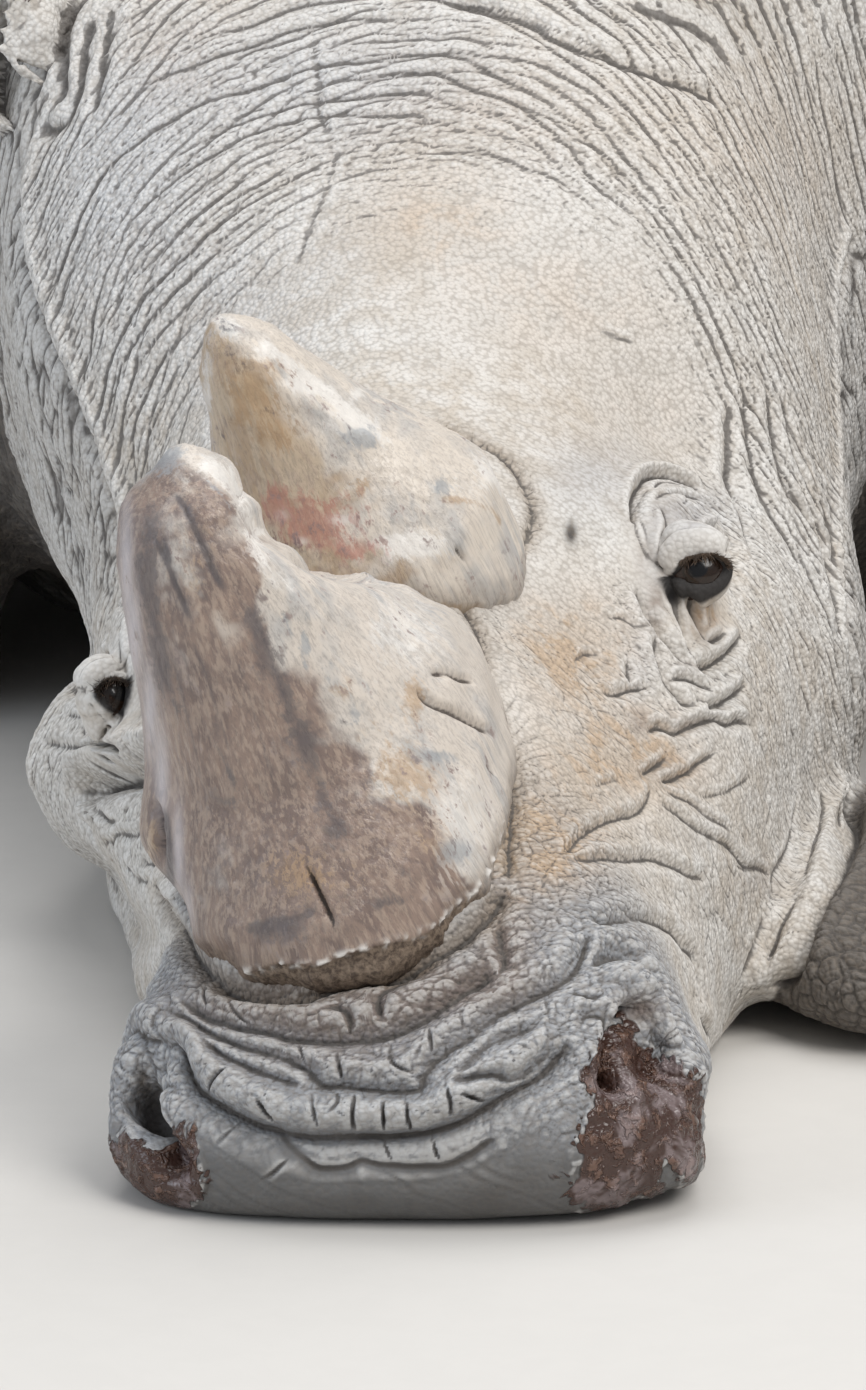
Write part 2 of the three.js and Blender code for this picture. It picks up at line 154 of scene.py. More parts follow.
# Each is (depth in mm, width in mm, [pixels]), and a negative depth raises a roll.
MUZZLE_FOLDS = {
    "under the horn": (9, 6, [(169, 988), (202, 1010), (235, 1022), (271, 1027), (292, 1033),
        (345, 1037), (386, 1033), (418, 1020), (447, 1000), (467, 986), (492, 971), (502, 961)]),
    "second": (7, 5, [(153, 1004), (182, 1012), (210, 1031), (243, 1043), (271, 1051), (304, 1065),
        (320, 1084), (345, 1086), (386, 1092), (418, 1088), (422, 1076), (439, 1055), (467, 1039),
        (492, 1018), (520, 1002), (549, 986), (573, 969), (586, 949), (590, 924)]),
    "deepest": (13, 6, [(149, 1041), (169, 1047), (182, 1076), (206, 1100), (243, 1122), (284, 1137),
        (324, 1142), (365, 1142), (406, 1140), (439, 1133), (476, 1116), (508, 1096), (541, 1076),
        (561, 1055), (573, 1035)]),
    "left branch": (5, 4, [(192, 1031), (218, 1051), (243, 1063), (284, 1080), (316, 1086)]),
    "right branch": (5, 4, [(447, 1078), (467, 1063), (492, 1043), (524, 1031), (549, 1018)]),
    "lower right branch": (4, 4, [(439, 1080), (492, 1076), (512, 1080), (541, 1063), (561, 1035)]),
    "lip": (5, 6, [(255, 1127), (280, 1141), (304, 1161), (320, 1171), (345, 1171), (361, 1165),
        (386, 1169), (427, 1169), (451, 1167), (476, 1153), (508, 1129)]),
    "over the left fold": (3, 3, [(320, 1005), (345, 1010), (355, 1035)]),
    "notch": (4, 4, [(386, 967), (402, 973), (382, 988), (378, 1004), (388, 1033)]),
    "leaf": (6, 4, [(492, 908), (500, 935), (505, 962), (490, 975)]),
}
# Short cuts across the muzzle's rolls, all of one depth and width.
MUZZLE_CUT = (1.7, 1.1)
MUZZLE_CUTS = [
    [(198, 957), (202, 1006)], [(222, 973), (235, 1010), (271, 1027)], [(341, 1002), (353, 1035)],
    [(296, 1033), (308, 1067)], [(335, 1041), (341, 1075), (345, 1086)],
    [(390, 1041), (392, 1063), (414, 1072)], [(427, 1022), (431, 1043), (427, 1076)],
    [(459, 1002), (463, 1022), (471, 1039)], [(312, 1092), (320, 1137)],
    [(333, 1088), (337, 1104), (329, 1112)], [(353, 1096), (355, 1140)], [(382, 1092), (384, 1133)],
    [(406, 1100), (412, 1137)], [(447, 1084), (453, 1116), (455, 1125)], [(467, 1096), (492, 1104)],
    [(520, 1049), (541, 1060)], [(263, 1104), (272, 1120)], [(224, 1072), (200, 1090)],
    [(300, 1150), (278, 1170), (262, 1180)], [(380, 1138), (395, 1168)], [(505, 1010), (512, 1031)],
    [(545, 975), (550, 1016)], [(240, 1120), (222, 1138)], [(430, 1135), (440, 1160)],
]
NOSTRIL_FOLDS = {
    "arch": (9, 5, [(583, 966), (597, 959), (608, 953), (622, 950), (636, 953), (647, 964),
        (659, 975), (668, 989), (675, 1003), (682, 1030), (688, 1060)]),
    "outer arch": (4, 4, [(588, 918), (606, 919), (624, 917), (643, 917), (659, 924), (675, 934),
        (686, 948), (695, 955), (698, 971), (702, 989), (700, 1005), (704, 1040), (703, 1080)]),
    "flap": (5, 4, [(574, 1028), (583, 1017), (594, 1012), (606, 1015), (611, 1026), (609, 1050)]),
    "inner": (3, 3, [(560, 989), (578, 990), (594, 994), (613, 989)]),
    "roll": (-7, 9, [(600, 985), (615, 972), (632, 972), (645, 985), (655, 1005)]),
    "wing": (-5, 8, [(664, 1010), (676, 1040), (690, 1080), (697, 1120), (697, 1160)]),
    "crust line": (3, 3, [(565, 853), (574, 847), (583, 838), (594, 829), (604, 823), (620, 819),
        (636, 816), (647, 808), (652, 796), (652, 785)]),
    "second crust line": (3, 3, [(571, 857), (590, 858), (613, 858), (631, 861), (652, 858),
        (668, 863), (682, 870), (695, 878), (707, 881)]),
}
LEFT_EYE_FOLDS = {
    "brow": (7, 2.4, [(634, 529), (633, 513), (634, 501), (637, 490), (642, 483), (648, 477), (655, 474),
        (662, 473), (670, 473), (677, 475), (684, 477), (691, 480), (697, 484), (705, 490)]),
    "second brow": (2.2, 1.8, [(648, 510), (653, 504), (658, 501), (664, 500), (669, 499), (674, 495),
        (684, 493), (697, 495), (707, 501), (716, 510), (722, 520), (727, 533)]),
    "third brow": (2.2, 1.8, [(650, 497), (657, 487), (662, 482), (669, 480), (675, 480), (682, 481),
        (689, 483), (703, 489)]),
    "inner brow": (3.4, 2.2, [(648, 510), (655, 516), (658, 523), (660, 532), (661, 547), (662, 562),
        (664, 574)]),
    "side of the brow": (2.1, 2, [(634, 514), (637, 522), (641, 533), (644, 550), (647, 566)]),
    "lid": (7, 2.0, [(680, 560), (686, 549), (690, 545), (697, 539), (704, 537), (711, 536), (719, 536),
        (728, 543)]),
    "on the lid": (1.4, 1.5, [(664, 506), (675, 517), (684, 528), (692, 538)]),
    "across the lid": (1.1, 1.5, [(690, 498), (680, 508), (671, 515)]),
    "temple": (5.6, 4, [(728, 530), (731, 550), (733, 575), (739, 600)]),
    "tear": (8.4, 3.4, [(637, 582), (640, 592), (643, 599), (648, 611), (656, 621), (663, 634), (671, 643),
        (678, 651), (690, 663), (697, 676)]),
    "first roll": (5.6, 2.2, [(664, 579), (668, 588), (671, 594), (675, 603), (677, 611), (681, 621),
        (684, 631), (689, 650), (697, 664)]),
    "second roll": (6.3, 2.4, [(678, 585), (683, 591), (688, 599), (691, 606), (693, 612), (696, 619),
        (699, 626), (702, 632), (705, 640), (706, 647)]),
    "lower lid": (4.9, 2.2, [(705, 645), (711, 643), (717, 640), (722, 637), (727, 631)]),
    "bag": (6.3, 3.0, [(692, 666), (704, 666), (712, 664), (722, 659), (733, 651), (741, 641), (744, 628)]),
    "second bag": (5.6, 3, [(655, 624), (658, 650), (664, 672), (669, 683), (678, 694), (684, 702),
        (693, 707), (703, 714)]),
    "third bag": (5.6, 3, [(703, 714), (714, 707), (724, 703), (733, 697), (742, 690), (751, 681)]),
    "across the bag": (3.6, 2.4, [(661, 684), (672, 680), (684, 678), (697, 682), (710, 691), (719, 699)]),
    "fourth bag": (4.9, 2.6, [(644, 733), (654, 729), (661, 727), (670, 731), (677, 734), (688, 730),
        (697, 727), (708, 722), (719, 720), (730, 725), (741, 720), (758, 726)]),
    "side": (2.8, 2.5, [(628, 655), (629, 670), (629, 688)]),
    "beside the side": (3.4, 2.4, [(597, 688), (606, 691), (617, 692), (630, 688), (644, 687), (657, 684)]),
    "low": (3.6, 2.4, [(640, 778), (648, 772), (656, 767), (664, 763), (672, 752)]),
    "low right": (3.6, 2.4, [(659, 783), (675, 780), (692, 772), (703, 763), (719, 752)]),
}
CHEEK_LINES = {
    "front": (2.2, 2.2, [(800, 896), (809, 865), (817, 838), (820, 799), (820, 761), (814, 724), (805, 688),
        (794, 644), (780, 609), (768, 580)]),
    "middle": (1.6, 2, [(760, 724), (763, 741), (769, 759), (772, 783), (773, 799), (769, 821), (760, 856)]),
    "long": (2.2, 2.2, [(765, 905), (772, 895), (772, 878), (785, 852), (792, 821), (798, 799),
        (800, 768), (798, 741), (791, 724)]),
    "outer": (1.8, 2, [(838, 838), (839, 799), (838, 763), (836, 724), (829, 684), (818, 644), (807, 613)]),
    "outermost": (1.8, 2, [(846, 850), (850, 825), (851, 777), (849, 724), (842, 675), (836, 640)]),
    "low front": (2.4, 2.4, [(800, 896), (794, 907), (780, 930), (771, 950), (762, 968)]),
    "low long": (2, 2.2, [(765, 905), (760, 930), (753, 950), (744, 975), (739, 985)]),
    "slant": (1.8, 2, [(661, 788), (675, 795), (694, 805), (708, 817), (725, 827), (733, 835)]),
    "low slant": (2.5, 2.5, [(659, 803), (679, 815), (695, 829), (712, 838), (732, 849), (744, 865),
        (760, 870), (771, 879)]),
    "lowest slant": (2, 2.2, [(732, 860), (743, 868), (763, 872), (772, 880)]),
    "rising": (1.4, 2, [(697, 799), (719, 794), (741, 785), (754, 774)]),
    "by the horn": (1.8, 2, [(600, 614), (617, 615), (626, 617), (635, 623), (648, 625), (655, 621)]),
    "cracks by the horn": (1.6, 1.8, [(575, 651), (577, 660), (586, 653), (597, 654), (602, 660)]),
    "short": (1.6, 2, [(588, 784), (600, 785), (608, 783), (624, 780)]),
    "on the brow": (1.0, 1.8, [(590, 330), (608, 334), (622, 340), (642, 345)]),
    "temple": (4.5, 4, [(733, 400), (731, 440), (729, 481), (742, 513), (749, 536), (760, 569),
        (781, 601), (799, 637), (815, 693), (819, 761)]),
    "second temple": (3.5, 4, [(748, 380), (753, 445), (760, 486), (770, 509), (788, 536),
        (804, 569), (825, 624), (836, 693), (836, 761)]),
    "third temple": (3.5, 4, [(770, 380), (779, 447), (790, 486), (811, 516), (825, 543),
        (836, 601), (845, 647)]),
    "fourth temple": (3, 4, [(785, 390), (795, 445), (806, 474), (822, 507), (834, 536), (838, 578)]),
}
HORN_FOOT = {
    "front": (9, 4.5, [(150, 880), (165, 915), (183, 943), (197, 960), (216, 976), (236, 985), (269, 993),
        (300, 993), (328, 982), (361, 974), (394, 969), (427, 953), (459, 935), (487, 914), (508, 884)]),
    "right": (3.5, 3, [(508, 884), (512, 838), (516, 790), (511, 753), (494, 716), (483, 679),
        (483, 642), (470, 613), (448, 590), (416, 573), (392, 568)]),
    "rear": (3.5, 3, [(325, 385), (362, 403), (398, 422), (449, 431), (498, 453), (523, 481), (534, 520),
        (512, 560)]),
}
# The face's edges against the neck, cut as creases whose dark bottoms are painted shade along those edges.
LEFT_OF_FACE = [(30, 130), (22, 175), (20, 210), (24, 260), (36, 310), (52, 350), (70, 395), (88, 440),
    (100, 475), (112, 515), (118, 560)]
JAW = [(853, 790), (852, 826), (846, 862), (839, 882), (831, 900), (817, 925), (801, 953), (786, 977),
    (768, 1004), (748, 1036)]
RIGHT_OF_FACE = [(858, 230), (842, 300), (840, 400), (843, 500), (846, 560), (851, 640), (860, 700)]
NECK_EDGES = {
    "left": (9, 5, LEFT_OF_FACE),
    "right": (7, 4, RIGHT_OF_FACE),
    "jaw": (14, 5, JAW),
    "left neck": (5, 4, [(4, 260), (18, 330), (34, 400), (50, 450), (66, 500)]),
}
RIGHT_CHEEK_FOLDS = {
    # The deep crease under the cheek is darkened as painted shade beneath the cheek's bulge.
    "under the cheek": (24, 7, [(156, 768), (149, 769), (132, 772), (112, 776), (95, 780), (80, 786),
        (79, 801), (81, 821), (88, 843)]),
    "over the cheek": (3, 3, [(56, 678), (70, 689), (95, 690), (121, 692)]),
    "second over the cheek": (2.5, 3, [(67, 700), (84, 706), (107, 704), (121, 700)]),
    "on the cheek": (3, 2.6, [(62, 712), (75, 716), (92, 712), (104, 718), (120, 716)]),
    "lower on the cheek": (3, 2.6, [(40, 738), (60, 745), (84, 748), (104, 744), (128, 752)]),
    "between": (2.4, 2.4, [(84, 713), (80, 730), (86, 747)]),
    "between too": (2.4, 2.4, [(108, 719), (112, 735), (106, 745)]),
    "at the corner": (2.4, 2.4, [(50, 746), (44, 760), (52, 775)]),
}
# The smooth plate behind the horns, and where the upper lip's smooth skin begins.
SMOOTH_PLATE = {"middle": (455, 395), "reach": (275, 225)}
LIP_ROWS = (1080, 1185)
LEFT_NECK_ENDS = (540, 660)
CROWN_LINES = {
    "deep": (5, 5, [(440, 0), (475, 2), (519, 17), (564, 39), (608, 55), (652, 72), (696, 88),
        (729, 105)]),
    "second": (4, 5, [(620, 0), (652, 11), (685, 22), (713, 39), (735, 72)]),
    "middle": (1.6, 2.5, [(312, 33), (318, 72), (318, 110), (331, 138)]),
    "faint": (1, 2.5, [(337, 144), (326, 188), (309, 232), (293, 276)]),
    "ear root": (6, 6, [(55, 0), (47, 33), (41, 72), (28, 105)]),
    "second ear root": (6, 6, [(72, 0), (64, 33), (61, 72), (55, 110)]),
    "third ear root": (5, 6, [(94, 11), (83, 44), (77, 83), (61, 122), (33, 133)]),
    "fourth ear root": (4, 5, [(112, 0), (104, 40), (98, 80), (90, 120)]),
}
TRACED = [MUZZLE_FOLDS, NOSTRIL_FOLDS, LEFT_EYE_FOLDS, CHEEK_LINES, RIGHT_CHEEK_FOLDS, CROWN_LINES,
    HORN_FOOT, NECK_EDGES]

# Large folds, as (depth, width, [(out from the middle, behind the lip, height)]), all in mm, on both
# sides of the body.
BODY_FOLDS = {
    "throat": (12, 14, [(60, 1030, 640), (250, 1040, 560), (320, 1030, 400), (315, 1010, 230),
        (270, 980, 60)]),
    "neck": (14, 18, [(40, 1180, 720), (280, 1190, 620), (390, 1180, 430), (380, 1160, 220),
        (320, 1120, 40)]),
    "before the shoulder": (20, 24, [(60, 1330, 840), (320, 1340, 760), (450, 1350, 560),
        (460, 1330, 330), (420, 1290, 120)]),
    "behind the shoulder": (16, 26, [(260, 1790, 970), (470, 1800, 800), (580, 1830, 580),
        (600, 1850, 380), (600, 1840, 200)]),
    "over the shoulder": (9, 18, [(220, 1520, 950), (420, 1540, 800), (500, 1560, 620)]),
    "flank": (20, 26, [(470, 2680, 840), (570, 2640, 700), (610, 2570, 520), (620, 2490, 330),
        (600, 2440, 180)]),
    "haunch": (15, 24, [(330, 3230, 820), (460, 3220, 660), (520, 3200, 470), (520, 3140, 300)]),
    "tail root": (10, 16, [(110, 3330, 900), (150, 3400, 800), (130, 3470, 660), (90, 3490, 520)]),
    "rump": (7, 16, [(240, 3050, 960), (400, 3080, 820), (520, 3060, 640)]),
    "elbow": (10, 18, [(520, 1190, 300), (560, 1120, 190), (560, 1080, 80)]),
}

# ------------------------------------------------------------------ arithmetic on many points


def smooth(low, high, x):
    """0 up to the first value and 1 from the second, eased between them."""
    t = np.clip((x - low) / (high - low), 0, 1)
    return t * t * (3 - 2 * t)


def bell(distance, reach):
    """1 at no distance, falling softly to almost nothing at twice the reach."""
    return np.exp(-((distance / reach) ** 2))


def scattered(at, seed):
    """Well mixed 32-bit numbers for lattice points."""
    mixed = at[0] * np.uint32(374761393) + at[1] * np.uint32(668265263) + at[2] * np.uint32(2246822519)
    mixed = mixed + np.uint32(seed * 2654435761 % 2**32)
    mixed = (mixed ^ (mixed >> np.uint32(13))) * np.uint32(1274126177)
    return mixed ^ (mixed >> np.uint32(16))


def three_of(mixed):
    """Three numbers from 0 to 1 out of each 32-bit number."""
    ten_bits = 1023
    parts = [(mixed >> np.uint32(shift)) & np.uint32(ten_bits) for shift in (0, 10, 20)]
    return [part.astype(np.float32) / ten_bits for part in parts]


def lattice(points):
    """The lattice point below each point, and how far the point is past it."""
    points = points.astype(np.float32)
    low = np.floor(points)
    return low.astype(np.int32).astype(np.uint32), points - low


def noise(points, seed=0):
    """Smooth noise of about -1 to 1, with bumps one unit wide."""
    low, t = lattice(points)
    ease = t * t * t * (t * (t * 6 - 15) + 10)
    total = np.zeros(len(points), np.float32)
    for corner in product((0, 1), repeat=3):
        slope = three_of(scattered([low[:, k] + np.uint32(corner[k]) for k in range(3)], seed))
        weight = np.ones(len(points), np.float32)
        rise = np.zeros(len(points), np.float32)
        for k in range(3):
            weight *= ease[:, k] if corner[k] else 1 - ease[:, k]
            rise += (2 * slope[k] - 1) * (t[:, k] - corner[k])
        total += weight * rise
    return total * 1.6


def net(points, seed=0):
    """How far each point is from the border between random cells, in cells."""
    low, t = lattice(points)
    first = np.full(len(points), 9, np.float32)
    second = first.copy()
    for shift in product((-1, 0, 1), repeat=3):
        seat = three_of(scattered([low[:, k] + np.uint32(shift[k] % 2**32) for k in range(3)], seed))
        gap = sum((seat[k] + shift[k] - t[:, k]) ** 2 for k in range(3))
        second = np.minimum(second, np.maximum(first, gap))
        first = np.minimum(first, gap)
    return np.sqrt(second) - np.sqrt(first)


def dot(first, second):
    """The products of vectors, one by one."""
    return np.einsum("ij,ij->i", first, second)


def warped(points, size, amount, seed):
    """Points moved about by noise, so that what is drawn with them wanders."""
    return points + amount * np.column_stack([noise(points / size, seed + k) for k in range(3)])


def curve_through(points, step):
    """A smooth curve through points, sampled about every step."""
    p = np.array(points, float)
    p = np.vstack([2 * p[0] - p[1], p, 2 * p[-1] - p[-2]])
    out = []
    for a, b, c, d in zip(p[:-3], p[1:-2], p[2:-1], p[3:]):
        count = max(2, int(np.linalg.norm(c - b) / step))
        for t in np.arange(count) / count:
            out.append(0.5 * (2 * b + (c - a) * t + (2 * a - 5 * b + 4 * c - d) * t**2
                + (3 * b - a - 3 * c + d) * t**3))
    return np.array(out + [p[-2]])


def from_line(points, line):
    """Distance of points from a polyline, how far along it they are, from 0 to 1, and how much above it."""
    best = np.full(len(points), 1e9)
    along, rise, total = (np.zeros(len(points)) for _ in range(3))
    for i, (start, end) in enumerate(zip(line[:-1], line[1:])):
        span = end - start
        t = np.clip((points - start) @ span / max(span @ span, 1e-12), 0, 1)
        off = points - start - t[:, None] * span
        gap = np.sqrt(dot(off, off))
        closer = gap < best
        best[closer] = gap[closer]
        along[closer] = (i + t[closer]) / (len(line) - 1)
        share = 1 / (gap + 0.5 * MM) ** 4
        rise += share * off[:, -1] / (gap + 0.2 * MM)
        total += share
    return best, along, rise / total


def groove(shape, points, line, depth, width):
    """Adds a soft valley along a line to the heights of points, with a roll on each side of it."""
    index, gap, ends, above = beside(points, line, 4.5 * width, 0.4)
    valley = 0.7 * bell(gap, width) + 0.3 * bell(gap, 0.4 * width)
    rolls = bell(gap - 2.3 * width, 1.4 * width) * (0.3 + 0.3 * smooth(-0.5, 0.5, above))
    shape[index] += depth * ends * (rolls - valley)


def beside(points, line, reach, taper=16 * MM):
    """Which points are near a line, how far from it, what is left of it near its ends, and the rise."""
    near = np.all((points > line.min(0) - reach) & (points < line.max(0) + reach), axis=1)
    index = np.flatnonzero(near)
    gap, along, above = from_line(points[index], line)
    fade = min(0.35, taper / np.linalg.norm(np.diff(line, axis=0), axis=1).sum())
    return index, gap, smooth(0, fade, along) * smooth(0, fade, 1 - along), above


def crease(folds, points, line, depth, width):
    """Cuts a sharp crease along a line, under a roll that hangs over it, and darkens its bottom with painted
    shade and dirt.
    """
    index, gap, ends, above = beside(points, line, 6 * width)
    cut = depth * ends * (0.55 * np.exp(-gap / (0.6 * width)) + 0.45 * bell(gap, 2.6 * width))
    roll = depth * ends * bell(gap - 2.2 * width, 1.8 * width) * (0.2 + 0.5 * smooth(-0.5, 0.7, above))
    dark = min(1, 0.45 + depth / 8) * ends * bell(gap, max(0.34 * width, 1.0 * MM))
    open_part = ends * bell(gap, 0.9 * width)
    for key, value in (("cut", cut), ("roll", roll), ("dark", dark), ("open", open_part)):
        folds[key][index] = np.maximum(folds[key][index], value)


def furrows(p, across, spacing, seed):
    """Long wrinkles that fade in and out: how far down each point lies in one, from 0 to 1."""
    t = across / spacing + 0.9 * noise(p / (7 * spacing), seed) + 0.3 * noise(p / (2.5 * spacing), seed + 1)
    which = np.round(t)
    place = np.column_stack([which * 0.71 + 0.37, p[:, 0] / (9 * spacing), p[:, 2] / (9 * spacing)])
    strength = smooth(-0.25, 0.4, noise(place, seed + 2))
    gap = np.abs(t - which)
    return strength * (0.65 * np.exp(-gap / 0.09) + 0.35 * bell(gap, 0.26))


def plates(places, size, seed, sharp):
    """Cracked skin: how far down each point lies in a crack between plates, from 0 to 1."""
    wander = warped(places, 2.2 * size, 0.5 * size, seed)
    return np.exp(-net(wander / size, seed) / sharp)


# ------------------------------------------------------------------ the lie of the skin


def swung(first, second, angle):
    """Two coordinates after a turn that takes the first towards the second."""
    cos, sin = np.cos(angle), np.sin(angle)
    return first * cos - second * sin, second * cos + first * sin


def straight(co):
    """Points with the turn of the head taken back."""
    share = 1 - smooth(*HEAD_TURNS_UNTIL, co[:, 1] - LIP_Y)
    out = co - HEAD_PIVOT
    x, y = swung(out[:, 0], out[:, 1], -HEAD_TURN * share)
    x, z = swung(x, out[:, 2], -HEAD_ROLL * share)
    return np.column_stack([x, y, z]) + HEAD_PIVOT


def turned(p):
    """Points of the straight head, turned as the head is."""
    share = 1 - smooth(*HEAD_TURNS_UNTIL, p[:, 1] - LIP_Y)
    out = p - HEAD_PIVOT
    x, z = swung(out[:, 0], out[:, 2], HEAD_ROLL * share)
    x, y = swung(x, out[:, 1], HEAD_TURN * share)
    return np.column_stack([x, y, z]) + HEAD_PIVOT


def behind_lip(co):
    """How far behind the lip points are, along the straight body."""
    return straight(co)[:, 1] - LIP_Y


LIE_STRETCH = 2.6  # how much longer a wrinkle's cells are than wide


def across_of(p):
    """How far across the wrinkles each point of the straight body is, in metres."""
    s, x, z = p[:, 1] - LIP_Y, p[:, 0], p[:, 2]
    muzzle = 1 - smooth(0.13, 0.32, s)
    arch = smooth(0.3, 0.7, s) * (1 - smooth(1.1, 1.5, s))
    return s + muzzle * (z - 3.8 * x**2) + arch * 2.0 * x**2


def lie_of(co):
    """Coordinates in which the skin's cells are stretched along its wrinkles."""
    lie = straight(co)
    lie[:, 1] += (LIE_STRETCH - 1) * across_of(lie)
    return lie


# ------------------------------------------------------------------ meshes


def coords(mesh):
    co = np.empty(len(mesh.vertices) * 3, np.float32)
    mesh.vertices.foreach_get("co", co)
    return co.reshape(-1, 3).astype(float)


def set_coords(mesh, co):
    mesh.vertices.foreach_set("co", co.astype(np.float32).ravel())
    mesh.update()


def normals(mesh):
    out = np.empty(len(mesh.vertices) * 3, np.float32)
    mesh.vertex_normals.foreach_get("vector", out)
    return out.reshape(-1, 3).astype(float)


def edges_of(mesh):
    out = np.empty(len(mesh.edges) * 2, np.int32)
    mesh.edges.foreach_get("vertices", out)
    return out.reshape(-1, 2)


def relaxed(mesh, amount, rounds):
    """Smooths a mesh, each vertex by its own amount."""
    co, edges = coords(mesh), edges_of(mesh)
    a, b, n = edges[:, 0], edges[:, 1], len(co)
    count = np.maximum(np.bincount(edges.ravel(), minlength=n), 1)
    amount = np.broadcast_to(amount, n)
    for _ in range(rounds):
        for k in range(3):
            side = co[:, k]
            total = np.bincount(a, side[b], n) + np.bincount(b, side[a], n)
            co[:, k] = side + amount * (total / count - side)
    set_coords(mesh, co)


def evened(mesh, rounds):
    """Takes steps and facets out of a mesh and leaves its size and larger shapes alone."""
    for _ in range(rounds):
        relaxed(mesh, 0.5, 1)
        relaxed(mesh, -0.52, 1)


def spread(mesh, vectors, rounds):
    """Vectors of vertices, averaged with their neighbours'."""
    edges = edges_of(mesh)
    a, b, n = edges[:, 0], edges[:, 1], len(vectors)
    count = np.bincount(edges.ravel(), minlength=n) + 1
    sides = []
    for side in vectors.T:
        for _ in range(rounds):
            side = (side + np.bincount(a, side[b], n) + np.bincount(b, side[a], n)) / count
        sides.append(side)
    return np.column_stack(sides)


def hollow_of(mesh, co, no, rounds):
    """How far each vertex lies under its surroundings, in mm."""
    return dot(spread(mesh, co, rounds) - co, no) / MM


def solid_of(nodes, grow):
    """A joined copy of CAD nodes, grown a little so that the thin gaps between them close."""
    whole = bmesh.new()
    for name in nodes:
        piece = bmesh.new()
        piece.from_mesh(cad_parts[name].data)
        bmesh.ops.remove_doubles(piece, verts=piece.verts, dist=0.02 * MM)
        piece.normal_update()
        for vert in piece.verts:
            vert.co += vert.normal * grow
        mesh = bpy.data.meshes.new(name)
        piece.to_mesh(mesh)
        whole.from_mesh(mesh)
        piece.free()
        bpy.data.meshes.remove(mesh)
    mesh = bpy.data.meshes.new("solid")
    whole.to_mesh(mesh)
    whole.free()
    return mesh


def shown(name, mesh):
    """A mesh as a piece in the scene."""
    piece = bpy.data.objects.new(name, mesh)
    bpy.context.scene.collection.objects.link(piece)
    return piece


def through(mesh, kind, **settings):
    """The mesh after one modifier."""
    holder = shown("holder", mesh)
    modifier = holder.modifiers.new("step", kind)
    for key, value in settings.items():
        setattr(modifier, key, value)
    graph = bpy.context.evaluated_depsgraph_get()
    out = bpy.data.meshes.new_from_object(holder.evaluated_get(graph))
    bpy.data.objects.remove(holder)
    bpy.data.meshes.remove(mesh)
    return out


def voxelled(mesh, voxel):
    """A mesh of even squares round another."""
    return through(mesh, "REMESH", mode="VOXEL", voxel_size=voxel, use_smooth_shade=True)


def remeshed(mesh, voxel):
    return largest(voxelled(mesh, voxel))


def largest(mesh):
    """The mesh without any loose crumb or inner shell."""
    work = bmesh.new()
    work.from_mesh(mesh)
    seen = set()
    islands = []
    for start in work.verts:
        if start in seen:
            continue
        seen.add(start)
        island, front = [start], [start]
        while front:
            grown = {edge.other_vert(vert) for vert in front for edge in vert.link_edges} - seen
            seen |= grown
            island += grown
            front = list(grown)
        islands.append(island)
    islands.sort(key=len)
    bmesh.ops.delete(work, geom=[vert for island in islands[:-1] for vert in island], context="VERTS")
    work.to_mesh(mesh)
    work.free()
    return mesh


def refined(mesh, wanted):
    """Halves the edges of a mesh where both ends are wanted, and rounds the new points off."""
    work = bmesh.new()
    work.from_mesh(mesh)
    chosen = wanted.tolist()
    cut = [edge for edge in work.edges if chosen[edge.verts[0].index] and chosen[edge.verts[1].index]]
    bmesh.ops.subdivide_edges(work, edges=cut, cuts=1, use_grid_fill=True, use_single_edge=True)
    work.to_mesh(mesh)
    work.free()
    fresh = np.zeros(len(mesh.vertices))
    fresh[: len(wanted)] = wanted
    fresh[len(wanted):] = 1
    relaxed(mesh, 0.5 * fresh, 2)
    return mesh


def tree_of(mesh):
    """A mesh's surface for nearest points and rays."""
    tris = np.empty(len(mesh.loop_triangles) * 3, np.int32)
    mesh.loop_triangles.foreach_get("vertices", tris)
    return BVHTree.FromPolygons(coords(mesh).tolist(), tris.reshape(-1, 3).tolist())


def attribute(mesh, name, values):
    kind = "FLOAT" if values.ndim == 1 else "FLOAT_VECTOR"
    layer = mesh.attributes.get(name) or mesh.attributes.new(name, kind, "POINT")
    layer.data.foreach_set("value" if values.ndim == 1 else "vector", values.astype(np.float32).ravel())


def smooth_shaded(mesh):
    mesh.polygons.foreach_set("use_smooth", np.ones(len(mesh.polygons), bool))
    mesh.update()


def finished(piece, slot, material, *nodes):
    """Gives a piece its material, hangs it on the body and hides the CAD nodes it replaces."""
    piece.data.materials.clear()
    piece.data.materials.append(material)
    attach(piece, BODY)
    if nodes:
        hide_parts(*nodes)


# ------------------------------------------------------------------ the skin's shape


def settled(tree, points):
    """Points moved to the nearest place on a surface."""
    return np.array([tree.find_nearest(Vector(point))[0] for point in points], float)


def other_side(tree, places):
    """The same places on the other side of the head."""
    return settled(tree, turned(straight(places) * [-1, 1, 1]))


def ear_shell(name, skin_tree):
    """One ear in fine mesh, with its root sunk into the skin."""
    mesh = remeshed(solid_of([name], 0.6 * MM), 2.5 * MM)
    relaxed(mesh, 0.5, 8)
    co = coords(mesh)
    for i, point in enumerate(co):
        _, normal, _, gap = skin_tree.find_nearest(Vector(point))
        if gap < 22 * MM:
            co[i] -= np.array(normal) * 26 * MM * (1 - smooth(4 * MM, 22 * MM, gap))
    set_coords(mesh, co)
    return mesh


def seen_from_front(mesh, until):
    """Whether a vertex faces the camera inside its frame, up to a distance behind the lip."""
    co, no = coords(mesh), normals(mesh)
    spot, _ = pixels(co)
    margin = 25
    inside = np.all((spot > -margin) & (spot < np.array(PICTURE) + margin), axis=1)
    return inside & (facing_camera(co, no) > -0.1) & (co[:, 1] < LIP_Y + until)


